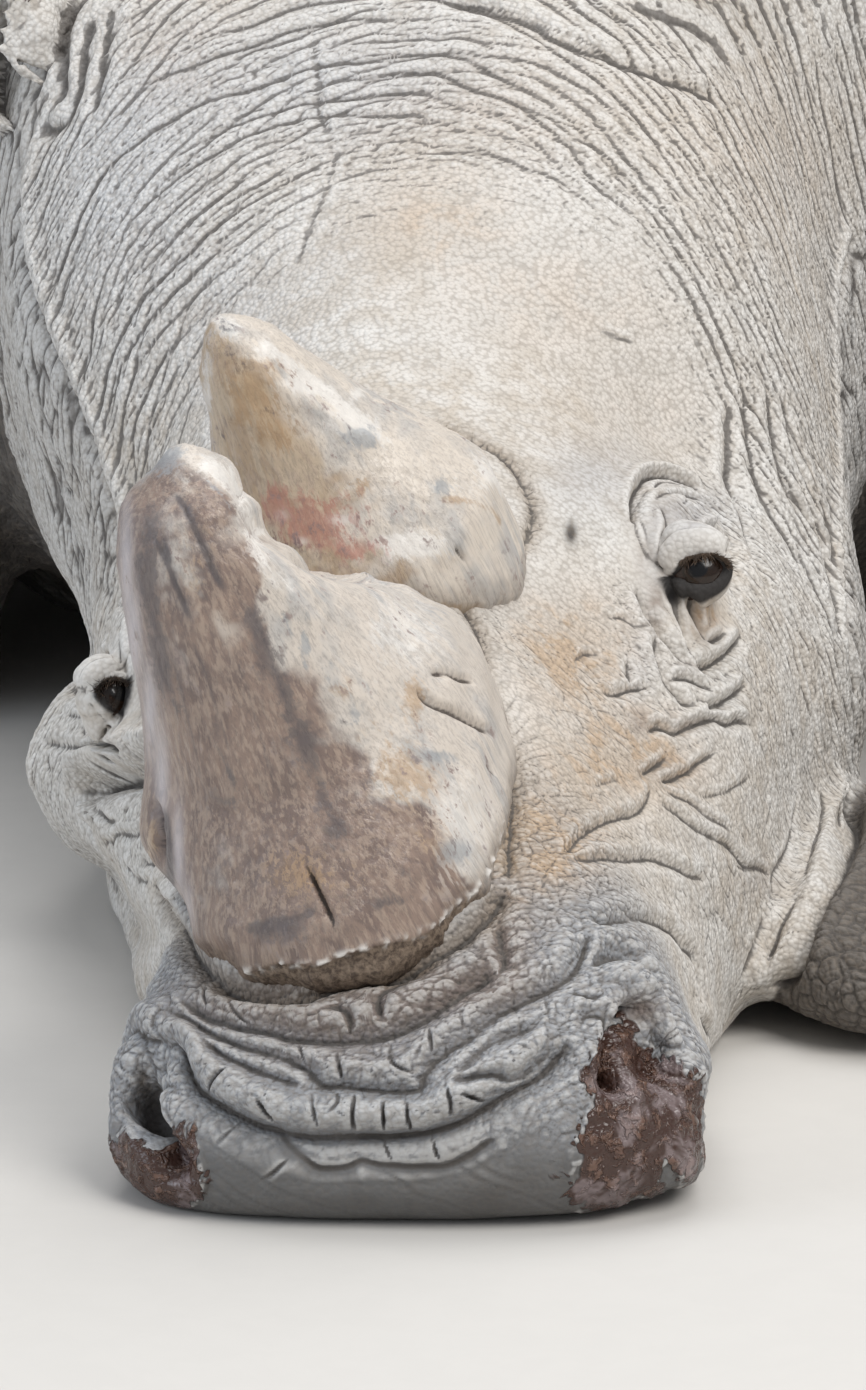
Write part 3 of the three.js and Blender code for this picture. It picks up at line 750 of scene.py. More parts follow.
# The opening between the lids, from the inner corner over the top, and the dome of the left upper lid.
EYE_OPENINGS = {
    "left": [(671, 578), (678, 571), (684, 563), (691, 559), (701, 557), (711, 557), (719, 561), (723, 568),
        (719, 576), (711, 582), (700, 584), (688, 582), (679, 578)],
    "right": [(135, 700), (131, 691), (125, 685), (118, 681), (110, 681), (104, 685), (101, 690),
        (105, 696), (111, 702), (119, 706), (127, 706), (132, 704)],
}
# The last two are how far the dark rim, partly painted shade, reaches under each eye.
LIDS = {"thick": 2.0 * MM, "swell": 2.2 * MM, "from": 6 * MM, "until": 17 * MM, "left": 9.5 * MM,
    "right": 4 * MM}
UPPER_LID = {"middle": (684, 524), "reach": (49, 48), "height": 9.0}


def eye_seats():
    """Centre, radius, opening and axes (outer corner, up, out) of each eye."""
    seats = {}
    for name, outline in EYE_OPENINGS.items():
        low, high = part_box(f"eye_{name}")
        centre, radius = np.array((low + high) / 2), (high.z - low.z) / 2
        rim = np.array([on_ball(centre, radius, mark) for mark in outline])
        off = rim - centre
        off /= np.linalg.norm(off, axis=1)[:, None]
        out = off.mean(0) / np.linalg.norm(off.mean(0))
        corner = off[6] - off[0]
        corner -= (corner @ out) * out
        corner /= np.linalg.norm(corner)
        up = np.cross(out, corner)
        up *= math.copysign(1, up[2])
        seat = {"centre": centre, "radius": radius, "axes": (corner, up, out)}
        seat["opening"] = spots_on_ball(seat, rim)
        seat["rim"] = LIDS[name]
        seats[name] = seat
    return seats


def on_ball(centre, radius, mark):
    """Where the ray through a pixel first meets a ball."""
    way, off = ray(mark), CAMERA - centre
    half = way @ off
    return CAMERA - way * (half + math.sqrt(max(half**2 - off @ off + radius**2, 0)))


def spots_on_ball(seat, points):
    """Places of points on the flattened front of an eyeball, in metres."""
    back, up, out = seat["axes"]
    off = points - seat["centre"]
    flat = np.column_stack([off @ back, off @ up])
    size = np.linalg.norm(flat, axis=1)
    angle = np.arctan2(size, off @ out)
    return flat * (angle * seat["radius"] / np.maximum(size, 1e-9))[:, None]


def from_opening(seat, points):
    """Distance of points from the edge of the eye's opening along the ball, negative inside."""
    spots = spots_on_ball(seat, points)
    rim = curve_through([*seat["opening"], seat["opening"][0]], 1.0 * MM)
    gap, _, _ = from_line(spots, rim)
    inside = np.zeros(len(spots), bool)
    for (ax, ay), (bx, by) in zip(rim, np.roll(rim, -1, axis=0)):
        crosses = (ay > spots[:, 1]) != (by > spots[:, 1])
        at = ax + (bx - ax) * (spots[:, 1] - ay) / (by - ay if by != ay else 1e-12)
        inside ^= crosses & (spots[:, 0] < at)
    return np.where(inside, -gap, gap)


def add_lids(co, seats):
    """Closes the skin over each eyeball, but for the opening, with a thicker lid under it."""
    for seat in seats.values():
        off = co - seat["centre"]
        away = np.linalg.norm(off, axis=1)
        index = np.flatnonzero(away < 60 * MM)
        edge = from_opening(seat, co[index])
        above = smooth(-3 * MM, 3 * MM, spots_on_ball(seat, co[index])[:, 1])
        away = away[index]
        lid = seat["radius"] + LIDS["thick"] + LIDS["swell"] * smooth(0, 3.5 * MM, edge) * (0.4 + 0.6 * above)
        lid -= 1.2 * MM * bell(edge, 0.9 * MM)
        closed = 1 - smooth(LIDS["from"], LIDS["until"], edge)
        wanted = away * (1 - closed) + np.maximum(lid, away - 6 * MM) * closed
        sunk = seat["radius"] + LIDS["thick"] - 5.5 * MM * smooth(-0.2 * MM, 1.2 * MM, -edge)
        near = 1 - smooth(7 * MM, 14 * MM, away - seat["radius"])
        covered = np.maximum(wanted, seat["radius"] + 1.6 * MM)
        wanted = away * (1 - near) + np.where(edge > 0, covered, sunk) * near
        co[index] = seat["centre"] + off[index] * (wanted / away)[:, None]
    return co


def lid_shade(co, seats):
    """How much each point belongs to the dark rims of the lids, widest under the eye: the rims' own dark skin
    with painted shade in the eye's opening.
    """
    shade = np.zeros(len(co))
    for seat in seats.values():
        away = np.linalg.norm(co - seat["centre"], axis=1) - seat["radius"]
        index = np.flatnonzero(away < 14 * MM)
        under = smooth(-2 * MM, 6 * MM, -spots_on_ball(seat, co[index])[:, 1])
        wide = 1.0 * MM + seat["rim"] * under
        rim = 1 - smooth(0.75, 1.2, from_opening(seat, co[index]) / wide)
        shade[index] = rim * (1 - smooth(6 * MM, 12 * MM, away[index]))
    return shade


def as_left(co):
    """Where points would be seen if both sides of the head were its left side."""
    p = straight(co)
    p[:, 0] = np.abs(p[:, 0])
    return pixels(turned(p))[0]


def upper_lids(co, seats):
    """The domes of the heavy upper lids, in mm."""
    shape = np.zeros(len(co))
    for seat in seats.values():
        index = np.flatnonzero(np.linalg.norm(co - seat["centre"], axis=1) < 75 * MM)
        spot = as_left(co[index])
        off = (spot - UPPER_LID["middle"]) / UPPER_LID["reach"]
        dome = np.sqrt(np.clip(1 - (off**2).sum(1), 0, 1)) ** 0.9
        clear = smooth(1.5 * MM, 8 * MM, from_opening(seat, co[index]))
        shape[index] += UPPER_LID["height"] * dome * clear
    return shape


def traced_lines(tree):
    """Every traced crease as (place on the skin, depth, width), on both sides where it shows on one."""
    for group in TRACED:
        both = group in (LEFT_EYE_FOLDS, NOSTRIL_FOLDS)
        for depth, width, marks in group.values():
            line = touched(tree, curve_through(marks, 5))
            if len(line) > 2:
                yield line, depth, width
                if both:
                    yield other_side(tree, line), 0.6 * depth, width
    for marks in MUZZLE_CUTS:
        marks = np.array(marks)
        longer = [1.4 * marks[0] - 0.4 * marks[1], *marks[1:-1], 1.4 * marks[-1] - 0.4 * marks[-2]]
        line = touched(tree, curve_through(longer, 5))
        if len(line) > 2:
            yield line, *MUZZLE_CUT


def body_lines(tree):
    """Both sides' body folds as (place on the skin, depth, width)."""
    for depth, width, points in BODY_FOLDS.values():
        for side in SIDES.values():
            places = np.array([[side * x * MM, LIP_Y + s * MM, z * MM] for x, s, z in points])
            yield settled(tree, curve_through(places, 0.03)), depth, width


NOSTRIL = {"line": [(640, 1012), (629, 1026), (622, 1050), (617, 1078)], "depth": 26, "width": 8}
# Where the flesh is drawn in, or swells if negative, as (x, y, reach across, reach down, mm) in pixels.
DENTS = [(68, 650, 22, 34, 13), (60, 600, 20, 30, 6), (250, 985, 62, 17, 9), (400, 968, 80, 14, 5),
    (78, 900, 34, 44, 20), (110, 940, 34, 30, 14), (690, 1180, 26, 46, -13), (722, 1060, 34, 34, -13),
    (825, 880, 34, 80, -9)]


def edge_in_row(edge, spot, **ends):
    """How far to the right an edge of the face is, in each seen place's row of pixels."""
    across, down = np.transpose(edge)
    return np.interp(spot[:, 1], down, across, **ends)


def beyond_face(co, spot, s):
    """How much each point belongs to the neck that shows beside the face."""
    off_left = edge_in_row(LEFT_OF_FACE, spot, left=-40) - spot[:, 0]
    off_right = spot[:, 0] - edge_in_row(RIGHT_OF_FACE, spot, left=900, right=900)
    on_left = smooth(-2, 8, off_left) * (co[:, 0] < -0.1) * (1 - smooth(*LEFT_NECK_ENDS, spot[:, 1]))
    on_right = smooth(-2, 8, off_right) * (co[:, 0] > 0.1)
    return np.maximum(on_left, on_right) * smooth(0.45, 0.6, s) * (1 - smooth(1.1, 1.3, s))


def on_legs(co, s):
    """How much each point belongs to the legs."""
    leg = (1 - smooth(0.06, 0.36, co[:, 2])) * smooth(1.0, 1.2, s)
    index = np.flatnonzero((s < 1.25) & (np.abs(co[:, 0]) > 0.12) & (co[:, 2] < 0.45))
    head = tree_of(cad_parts["head"].data)
    gaps = np.array([head.find_nearest(Vector(point))[3] for point in co[index]])
    low = 1 - smooth(0.2, 0.42, co[index, 2])
    spot, _ = pixels(co[index])
    past_jaw = smooth(-2, 5, spot[:, 0] - edge_in_row(JAW, spot))
    past_jaw = np.where(co[index, 0] > 0, past_jaw, 1)
    for name in EYES:
        middle = np.array(sum(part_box(name), Vector()) / 2)
        low *= smooth(0.07, 0.11, np.linalg.norm(co[index] - middle, axis=1))
    leg[index] = np.maximum(leg[index], smooth(5 * MM, 12 * MM, gaps) * low * past_jaw)
    return leg


def on_ears(co, tree):
    """How much each point belongs to the ears."""
    ear = np.zeros(len(co))
    index = np.flatnonzero(in_ear_boxes(co, 10 * MM))
    gaps = np.array([tree.find_nearest(Vector(point))[3] for point in co[index]])
    ear[index] = smooth(6 * MM, 20 * MM, gaps)
    return ear


def in_ear_boxes(co, reach):
    """Whether points lie in an ear's box, grown by a reach."""
    found = np.zeros(len(co), bool)
    for name in EARS:
        low, high = (np.array(corner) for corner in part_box(name))
        found |= np.all((co > low - reach) & (co < high + reach), axis=1)
    return found


def clear_of_eyes(co, seats, low, high, least=0.0):
    """1 for points farther from each eye's centre than the second distance, and least within the first."""
    clear = np.ones(len(co))
    for seat in seats.values():
        clear *= least + (1 - least) * smooth(low, high, np.linalg.norm(co - seat["centre"], axis=1))
    return clear


def add_folds(shape, co, tree, settings):
    """Adds the traced creases and rolls and the body's folds, and tells how dark each point's crease is
    painted, as shade and dirt.
    """
    folds = {key: np.zeros(len(co)) for key in ("cut", "roll", "dark", "open")}
    wandering = warped(warped(co, 0.06, 1.4 * MM, 11), 0.014, 0.7 * MM, 14)
    for line, depth, width in traced_lines(tree):
        if depth < 0:
            index, gap, ends, _ = beside(wandering, line, 4 * width * MM)
            shape[index] -= depth * settings.folds * ends * bell(gap, width * MM)
        else:
            crease(folds, wandering, line, depth * settings.folds, width * MM)
    shape += folds["roll"] * (1 - folds["open"]) - folds["cut"]
    loose = warped(warped(co, 0.3, 30 * MM, 17), 0.07, 7 * MM, 20)
    for line, depth, width in body_lines(tree):
        groove(shape, loose, line, depth * settings.folds, width * MM)
    return folds["dark"]


def add_nostrils(shape, dark, co, tree):
    """Sinks both nostrils and darkens them with painted shade."""
    left = touched(tree, curve_through(NOSTRIL["line"], 5))
    for line in (left, other_side(tree, left)):
        gap, _, _ = from_line(co, line)
        shape -= NOSTRIL["depth"] * bell(gap, NOSTRIL["width"] * MM)
        np.maximum(dark, bell(gap, 0.8 * NOSTRIL["width"] * MM), out=dark)


def horn_crust(co, tree):
    """How much each point belongs to the rough skin round the horns."""
    crust = np.zeros(len(co))
    for _, _, marks in HORN_FOOT.values():
        index, gap, ends, _ = beside(co, touched(tree, curve_through(marks, 5)), 30 * MM)
        crust[index] = np.maximum(crust[index], ends * bell(gap, 9 * MM))
    return crust


def mud_lumps(co, mud):
    """How far crumbs of mud stand out, in mm."""
    muddy = smooth(0.45, 0.7, mud + 0.3 * noise(co / 0.02, 96))
    lumps = noise(co / 0.007, 97) + 0.5 * noise(co / 0.0035, 98)
    return muddy * (1.0 + 2.4 * np.maximum(lumps, 0) ** 1.2)


def regions(co, s, spot, tree, seats):
    """How much each point belongs to each part of the skin."""
    leg, ear = on_legs(co, s), on_ears(co, tree)
    plate = np.hypot(*((spot - SMOOTH_PLATE["middle"]) / SMOOTH_PLATE["reach"]).T)
    off_plate = smooth(0.75, 1.15, plate + 0.1 * noise(co / 0.05, 18))
    off_plate = np.maximum(off_plate, smooth(0.9, 1.1, s))
    return SimpleNamespace(
        crown=smooth(0.42, 0.62, s) * (1 - smooth(1.25, 1.8, s)) * off_plate * (1 - ear),
        face=(1 - smooth(0.7, 0.9, s)) * (0.25 + 0.75 * off_plate),
        muzzle=1 - smooth(0.15, 0.27, s),
        lip=smooth(*LIP_ROWS, spot[:, 1] + 20 * noise(co / 0.03, 91)) * (1 - smooth(0.1, 0.2, s)),
        aside=beyond_face(co, spot, s),
        off_eye=clear_of_eyes(co, seats, 35 * MM, 60 * MM, 0.2),
        neck=smooth(0.85, 1.1, s) * (1 - smooth(1.7, 2.1, s)) * (1 - ear),
        body=smooth(0.95, 1.35, s) * (1 - ear),
        leg=leg,
        front_leg=leg * (s < 1.25),
        ear=ear,
        crust=horn_crust(co, tree),
    )


def wrinkle_layers(co, p, at):
    """The net of wrinkles, as (share of each point, depth in mm, how far down a wrinkle it lies)."""
    lie, blocky, across = lie_of(co) / LIE_STRETCH, co * [0.62, 1, 0.62], across_of(p)
    patchy, bare = 0.5 + 0.5 * noise(co / 0.06, 19), 1 - at.lip
    return [
        (at.crown * (1 - at.aside), 2.6, furrows(p, across + 0.16 * p[:, 0], 0.0165, 21)),
        (at.crown * (1 - at.aside), 2.1, furrows(p, across - 0.20 * p[:, 0], 0.0125, 24)),
        (at.crown, 1.2, furrows(p, across + 0.35 * p[:, 2], 0.0065, 27)),
        (at.crown * (0.3 + 0.7 * patchy), 1.0, plates(lie, 0.0075, 31, 0.12)),
        (at.face * patchy * at.off_eye * bare, 1.3, plates(lie, 0.0105, 34, 0.11)),
        (at.face * at.off_eye * bare, 0.5, plates(lie, 0.0050, 35, 0.22)),
        (at.muzzle * bare * (0.4 + 0.6 * patchy), 1.2, plates(p, 0.019, 37, 0.055)),
        (at.muzzle * bare, 0.8, plates(p, 0.0095, 38, 0.13)),
        (at.lip, 0.4, furrows(p, co[:, 2] + 0.5 * co[:, 0], 0.0085, 39)),
        (at.crust, 1.4, plates(co, 0.008, 57, 0.25)),
        (at.aside, 3.2, plates(lie, 0.017, 51, 0.13)),
        (at.front_leg, 2.2, plates(co, 0.011, 53, 0.15)),
        (at.leg - at.front_leg, 1.6, plates(blocky, 0.034, 54, 0.14)),
        (at.ear, 0.6, plates(co, 0.010, 59, 0.15)),
        (at.neck, 5.0, furrows(p, across, 0.042, 41)),
        (at.body, 1.7, plates(blocky, 0.040, 44, 0.10)),
        (at.body * patchy, 1.2, furrows(p, across + 0.1 * p[:, 2], 0.030, 47)),
    ]


def relief(co, tree, seats, settings):
    """How far each point of the skin stands out, in mm, and what the hide's material needs of its parts."""
    p = straight(co)
    s = p[:, 1] - LIP_Y
    spot, _ = pixels(co)
    shape = 1.8 * noise(co / 0.16, 1) + 0.9 * noise(co / 0.05, 2) + upper_lids(co, seats)
    dark = add_folds(shape, co, tree, settings)
    add_nostrils(shape, dark, co, tree)
    ball = seats["left"]["radius"]
    shape -= marked(spot, DENTS) * clear_of_eyes(co, seats, ball + 3 * MM, ball + 16 * MM) * (s < 0.95)
    mud = marked(spot, MUD_AND_SHEEN_MARKS) * (1 - smooth(0.16, 0.22, s))
    shape += mud_lumps(co, mud)
    at = regions(co, s, spot, tree, seats)
    for weight, depth, layer in wrinkle_layers(co, p, at):
        shape -= weight * depth * layer
        # Deeper wrinkles are darkened more: painted shade in them, with dirt.
        dark = np.maximum(dark, weight * layer * min(0.9, 0.32 + depth / 6))
    dark *= 1 - 0.75 * at.body * (1 - at.aside) * (1 - at.front_leg)
    by_floor = smooth(-2 * MM, 14 * MM, co[:, 2]) * 0.8 + 0.2
    return shape * by_floor, {
        "crease": dark, "crust": at.crust, "mud": mud, "lip": at.lip,
        "leg": np.maximum(at.front_leg, 0.6 * at.leg),
        "sleek": np.maximum(at.lip, 0.8 * (1 - at.off_eye)),
        "rear": np.maximum(smooth(0.95, 1.35, s), 0.5 * at.aside),
    }


def skin_mesh(settings):
    """The one skin: remeshed, finest towards the face, with its lids, folds and wrinkles."""
    mesh = remeshed(solid_of(FLESH + EYES, 0.6 * MM), settings.voxel)
    evened(mesh, 16)
    relaxed(mesh, 0.5, 2)
    distance = coords(mesh)[:, 1] - LIP_Y
    height = coords(mesh)[:, 2]
    relaxed(mesh, 0.5 * smooth(0.95, 1.35, distance) * smooth(0.02, 0.15, height), 70)
    mesh = refined(mesh, (coords(mesh)[:, 1] < LIP_Y + 1.05) | seen_from_front(mesh, 1.75))
    coarse = tree_of(mesh)
    surfaces["skin"] = coarse
    for name in EARS:
        mesh = united(mesh, ear_shell(name, coarse))
    for until in (1.02, settings.finest):
        mesh = refined(mesh, seen_from_front(mesh, until) & ~at_ears(mesh))
    seats = eye_seats()
    co = add_lids(coords(mesh), seats)
    set_coords(mesh, co)
    no = spread(mesh, normals(mesh), 6)
    no /= np.linalg.norm(no, axis=1)[:, None]
    rims = lid_shade(co, seats)
    shape, marks = relief(co, coarse, seats, settings)
    co = co + shape[:, None] * MM * no
    co[:, 2] = np.maximum(co[:, 2], 0)
    set_coords(mesh, co)
    for name, values in {**marks, "rim": rims}.items():
        attribute(mesh, name, values)
    mark_skin(mesh)
    smooth_shaded(mesh)
    return mesh


def at_ears(mesh):
    """Whether a vertex belongs to an ear, whose mesh is fine already."""
    return in_ear_boxes(coords(mesh), 30 * MM)


def united(mesh, other):
    """One closed surface round both meshes."""
    cutter = shown("ear", other)
    mesh = through(mesh, "BOOLEAN", operation="UNION", solver="MANIFOLD", object=cutter)
    bpy.data.objects.remove(cutter)
    return mesh


# Marks on the skin, as (x, y, reach across, reach down, strength) in pixels.
OCHRE_MARKS = [
    (560, 640, 60, 50, 0.7), (590, 660, 46, 44, 0.5), (590, 760, 60, 60, 0.6), (560, 845, 60, 40, 0.6),
    (645, 745, 50, 40, 0.5), (520, 850, 40, 60, 0.9), (704, 616, 14, 16, 1.2), (450, 110, 200, 70, 0.35),
    (430, 225, 70, 40, 0.5), (170, 60, 80, 50, 0.4), (560, 300, 120, 60, 0.3), (640, 420, 80, 60, 0.25),
    (760, 150, 80, 80, 0.3), (675, 775, 34, 34, 0.4),
]
# Blue-grey marks are bare skin through the dust, but the broad ones at (120, 200) and (330, 80) are painted
# shade that darkens the crown, and the one at (146, 1132) is partly the painted sheen of the wet mud.
BLUE_AND_PAINTED_LIGHT_MARKS = [
    (595, 475, 50, 36, 0.8), (120, 200, 110, 150, 0.9), (330, 80, 190, 70, 0.9), (230, 330, 60, 90, 0.4),
    (330, 250, 60, 60, 0.3), (640, 660, 20, 50, 0.4), (684, 516, 42, 26, 1.1), (655, 560, 14, 30, 0.6),
    (146, 1132, 18, 26, 1.2),
]
MUD_AND_SHEEN_MARKS = [
    (618, 1060, 22, 42, 1.6), (640, 1110, 46, 52, 1.7), (615, 1180, 48, 48, 1.6), (672, 1120, 16, 56, 1.0),
    (150, 1190, 44, 38, 1.7), (175, 1160, 26, 40, 1.2), (128, 1150, 14, 40, 1.2),
    # Negative marks clear the mud so that skin shows; the clearing at (640, 1086) is a painted highlight for
    # the pale lilac sheen of the wet mud, and the one at (146, 1132) is partly such a sheen.
    (146, 1132, 15, 22, -1.6), (662, 1168, 8, 22, -1.1), (634, 1202, 11, 9, -1.2), (640, 1086, 9, 15, -0.5),
]
DARK_MARKS = [(571, 533, 6, 11, 1.2)]
# Umber marks are brown dirt in the folds round the eye, but the broad ones along the top of the muzzle, at
# (430, 985), (330, 1010), (330, 985) and (330, 1052), are painted shade under the front horn's foot.
UMBER_AND_SHADE_MARKS = [
    (656, 604, 9, 26, 0.9), (640, 560, 6, 20, 0.3), (430, 985, 90, 26, 1.3), (330, 1010, 90, 24, 1.4),
    (505, 940, 30, 40, 0.8), (500, 950, 20, 40, 0.5), (690, 668, 14, 8, 0.5), (690, 722, 20, 8, 0.6),
    (640, 722, 12, 12, 0.7), (660, 768, 30, 14, 0.5), (640, 1010, 22, 16, 1.0), (760, 880, 26, 20, 0.3),
    (702, 624, 16, 18, 0.5), (212, 1010, 40, 16, 0.6),
    (684, 516, 40, 22, 0.22), (330, 985, 120, 12, 0.8), (330, 1052, 110, 26, 0.5),
]


SKIN_MARKS = {
    "ochre": (OCHRE_MARKS, 1.2), "umber_and_shade": (UMBER_AND_SHADE_MARKS, 1), "blue": (BLUE_AND_PAINTED_LIGHT_MARKS, 1),
    "dark": (DARK_MARKS, 1.2),
}


def marked(spot, marks):
    """How much each seen place belongs to a group of soft marks."""
    total = np.zeros(len(spot))
    for x, y, across, down, strength in marks:
        total += strength * bell(np.hypot((spot[:, 0] - x) / across, (spot[:, 1] - y) / down), 1)
    return total


def mark_skin(mesh):
    """Stores what the hide's material needs to know about each point."""
    co, no = coords(mesh), normals(mesh)
    spot, _ = pixels(co)
    s = behind_lip(co)
    seen = smooth(0.0, 0.25, facing_camera(co, no)) * (1 - smooth(0.95, 1.1, s))
    far = 1 - 0.65 * smooth(1.0, 1.25, s)
    attribute(mesh, "lie", lie_of(co))
    for name, rounds, most in (("hollow", 8, 2), ("fine", 2, 1)):
        attribute(mesh, name, np.clip(hollow_of(mesh, co, no, rounds) * far, -most, most))
    for name, (marks, most) in SKIN_MARKS.items():
        attribute(mesh, name, np.clip(marked(spot, marks), 0, most) * seen)
    attribute(mesh, "muzzle", 1 - smooth(0.1, 0.24, s))


# ------------------------------------------------------------------ horns

# The axis of each horn on the straight head, as [out to the left, behind the lip, height] in mm.
HORN_AXES = {
    "horn_front": [(-8, 200, 130), (-13, 168, 220), (-28, 126, 290), (-40, 92, 360), (-42, 78, 414)],
    "horn_rear": [(4, 384, 215), (2, 372, 282), (-12, 342, 350), (-29, 314, 414), (-38, 300, 443)],
}
HORN_CUTS = {
    "split": (5, 1.6, [(303, 858), (309, 872), (316, 888), (324, 905), (333, 926), (338, 940)]),
    "flap": (16, 3.4, [(158, 796), (165, 816), (168, 838), (170, 864), (173, 901), (180, 936)]),
    "upper notch": (5, 2.2, [(425, 675), (444, 673), (466, 679), (478, 684)]),
    "lower notch": (6, 2.6, [(418, 682), (422, 694), (440, 705), (462, 716), (484, 727), (497, 737)]),
    "nick": (2.5, 1.8, [(486, 763), (498, 778)]),
    "long streak": (1.2, 2.2, [(174, 490), (189, 516), (207, 557), (222, 590)]),
    "second streak": (1.2, 2.2, [(155, 531), (165, 557), (174, 575), (191, 623)]),
    "pale edge": (-2.5, 7, [(240, 500), (262, 560), (290, 600), (330, 640)]),
    "slit": (2.5, 1.8, [(454, 545), (461, 556), (468, 566)]),
    "rear edge": (-2.5, 6, [(240, 335), (270, 375), (300, 400), (345, 425), (384, 452)]),
}
# The rim of beads at the front horn's foot.
BEADS = [(179, 938), (196, 949), (211, 953), (226, 958), (255, 962), (278, 959), (318, 962), (337, 956),
    (359, 949), (381, 943), (414, 934), (433, 925), (452, 908), (470, 890), (492, 860), (503, 834),
    (507, 790)]
# Where the front horn swells, as (x, y, reach across, reach down, mm) in pixels.
HORN_BULGES = [(198, 945, 32, 28, 12), (250, 975, 50, 26, 6), (310, 985, 70, 24, 4), (149, 852, 21, 54, 14),
    (425, 950, 50, 30, 4), (485, 900, 24, 34, 5), (285, 515, 34, 30, -22), (340, 545, 40, 26, -20),
    (400, 553, 44, 22, -16), (440, 580, 30, 26, -9), (254, 476, 22, 22, -14), (170, 446, 30, 14, 5),
    (228, 972, 34, 18, 6)]
# The left edge of the front horn's worn cream slope.
HORN_SLOPE = [(175, 440), (205, 468), (250, 542), (268, 602), (282, 651), (305, 695), (345, 742), (388, 785),
    (428, 822), (448, 859), (474, 901), (560, 960)]

# Marks on the horns, as (x, y, reach across, reach down, strength) in pixels.
HORN_MARKS = {
    "dark": [
        (150, 530, 12, 34, 0.8), (148, 600, 9, 50, 0.45), (262, 640, 11, 46, 0.5), (285, 700, 12, 50, 0.5),
        (310, 735, 16, 30, 0.6), (230, 797, 24, 14, 0.5), (278, 930, 46, 11, 0.7), (407, 872, 10, 12, 0.7),
        (337, 835, 20, 24, 0.7), (359, 900, 46, 14, 0.5), (160, 660, 9, 80, 0.35), (240, 370, 10, 8, 0.7),
        (232, 352, 8, 8, 0.6), (265, 410, 12, 6, 0.6), (250, 450, 14, 8, 0.5), (225, 326, 8, 8, 0.7),
        (225, 420, 8, 20, 0.5), (292, 548, 26, 8, 0.5), (272, 530, 8, 16, 0.5), (320, 556, 20, 6, 0.4),
    ],
    "blue": [
        (329, 671, 8, 14, 0.9), (355, 716, 10, 18, 0.8), (440, 756, 22, 7, 0.8), (455, 852, 18, 12, 0.8),
        (158, 458, 34, 20, 1.3), (305, 640, 7, 30, 0.8), (443, 486, 9, 9, 1.2), (440, 615, 16, 12, 0.6),
        (362, 436, 22, 10, 0.9), (470, 550, 30, 14, 0.5), (228, 330, 12, 12, 0.4),
    ],
    "ochre": [
        (414, 693, 16, 24, 0.9), (418, 782, 24, 22, 0.6), (300, 870, 40, 26, 0.4), (392, 770, 24, 40, 0.5),
        (340, 690, 18, 30, 0.4), (152, 850, 9, 50, 0.6), (430, 840, 26, 26, 0.5), (370, 730, 20, 24, 0.4),
        (252, 392, 30, 40, 1.2), (280, 440, 26, 24, 0.9), (365, 484, 22, 14, 0.7),
        (200, 560, 14, 60, 0.4), (350, 880, 60, 30, 0.3),
    ],
    "red": [(312, 530, 44, 26, 0.75), (275, 500, 16, 22, 0.7), (360, 552, 30, 10, 0.7),
        (330, 500, 40, 14, 0.5)],
    # Lilac is a painted highlight: light reflecting along the front horn's left edge.
    "lilac_highlight": [(126, 560, 7, 60, 0.8), (134, 640, 8, 50, 0.8), (150, 710, 7, 50, 0.8),
        (162, 780, 7, 50, 0.8), (178, 850, 6, 50, 0.8), (188, 915, 6, 36, 0.6)],
    "white": [
        (150, 850, 9, 40, 0.4), (175, 445, 24, 8, 0.7), (412, 547, 38, 16, 1.3), (490, 480, 36, 34, 0.8),
        (400, 640, 60, 60, 0.6), (460, 820, 40, 60, 0.6), (215, 470, 50, 16, 0.5), (228, 328, 14, 14, 1.0),
        (262, 352, 14, 10, 0.9), (300, 385, 26, 12, 0.9), (350, 425, 34, 16, 0.8), (282, 515, 9, 9, 0.9),
        (206, 400, 7, 50, 0.9), (302, 541, 9, 6, 0.9), (340, 520, 13, 7, 0.9), (262, 532, 8, 5, 0.7),
        (357, 394, 8, 6, 1.0), (208, 462, 26, 10, 0.5),
    ],
}
# Long marks on the horns, as (half width, strength, [pixels]).
HORN_STREAKS = {
    "dark": [
        (9, 0.5, [(234, 588), (258, 636), (285, 696), (310, 760), (330, 820)]),
        (10, 0.6, [(139, 545), (150, 610), (167, 680), (188, 750)]),
        (4, 0.6, [(210, 700), (222, 750), (240, 800)]), (5, 0.6, [(236, 930), (282, 922), (325, 908)]),
        (5, 0.6, [(360, 906), (390, 902), (420, 893)]), (4, 0.5, [(330, 690), (345, 730), (352, 770)]),
    ],
    "line": [
        (3.4, 1.2, [(169, 486), (186, 510), (201, 543), (213, 570), (227, 596)]),
        (3.0, 1.1, [(150, 531), (162, 552), (177, 588), (193, 627)]),
        (2.4, 0.9, [(160, 530), (168, 552), (172, 568)]), (1.6, 0.5, [(176, 480), (196, 515), (212, 548)]),
        (1.3, 0.45, [(192, 640), (214, 700), (232, 760)]), (1.5, 0.5, [(248, 600), (268, 650), (290, 712)]),
        (1.3, 0.45, [(168, 640), (186, 710), (204, 790)]), (1.3, 0.4, [(232, 640), (256, 720), (276, 790)]),
        # This line follows the gap under the flap at the horn's foot: painted shade in the gap.
        (4.0, 1.2, [(164, 802), (167, 830), (170, 862), (171, 888), (175, 914)]),
    ],
    "blue": [
        (4, 0.9, [(300, 630), (307, 645), (313, 657)]), (6, 0.9, [(355, 427), (367, 439), (379, 451)]),
        (2, 0.7, [(196, 470), (222, 496), (240, 526)]), (2, 0.6, [(270, 590), (300, 650), (316, 700)]),
    ],
    "white": [
        (7, 0.8, [(249, 331), (300, 372), (350, 412), (402, 455)]),
        (9, 0.7, [(190, 450), (236, 490), (262, 560), (300, 600)]),
    ],
    "ochre": [(4.5, 0.8, [(432, 498), (452, 499), (474, 503), (490, 509), (499, 520), (492, 534)])],
}
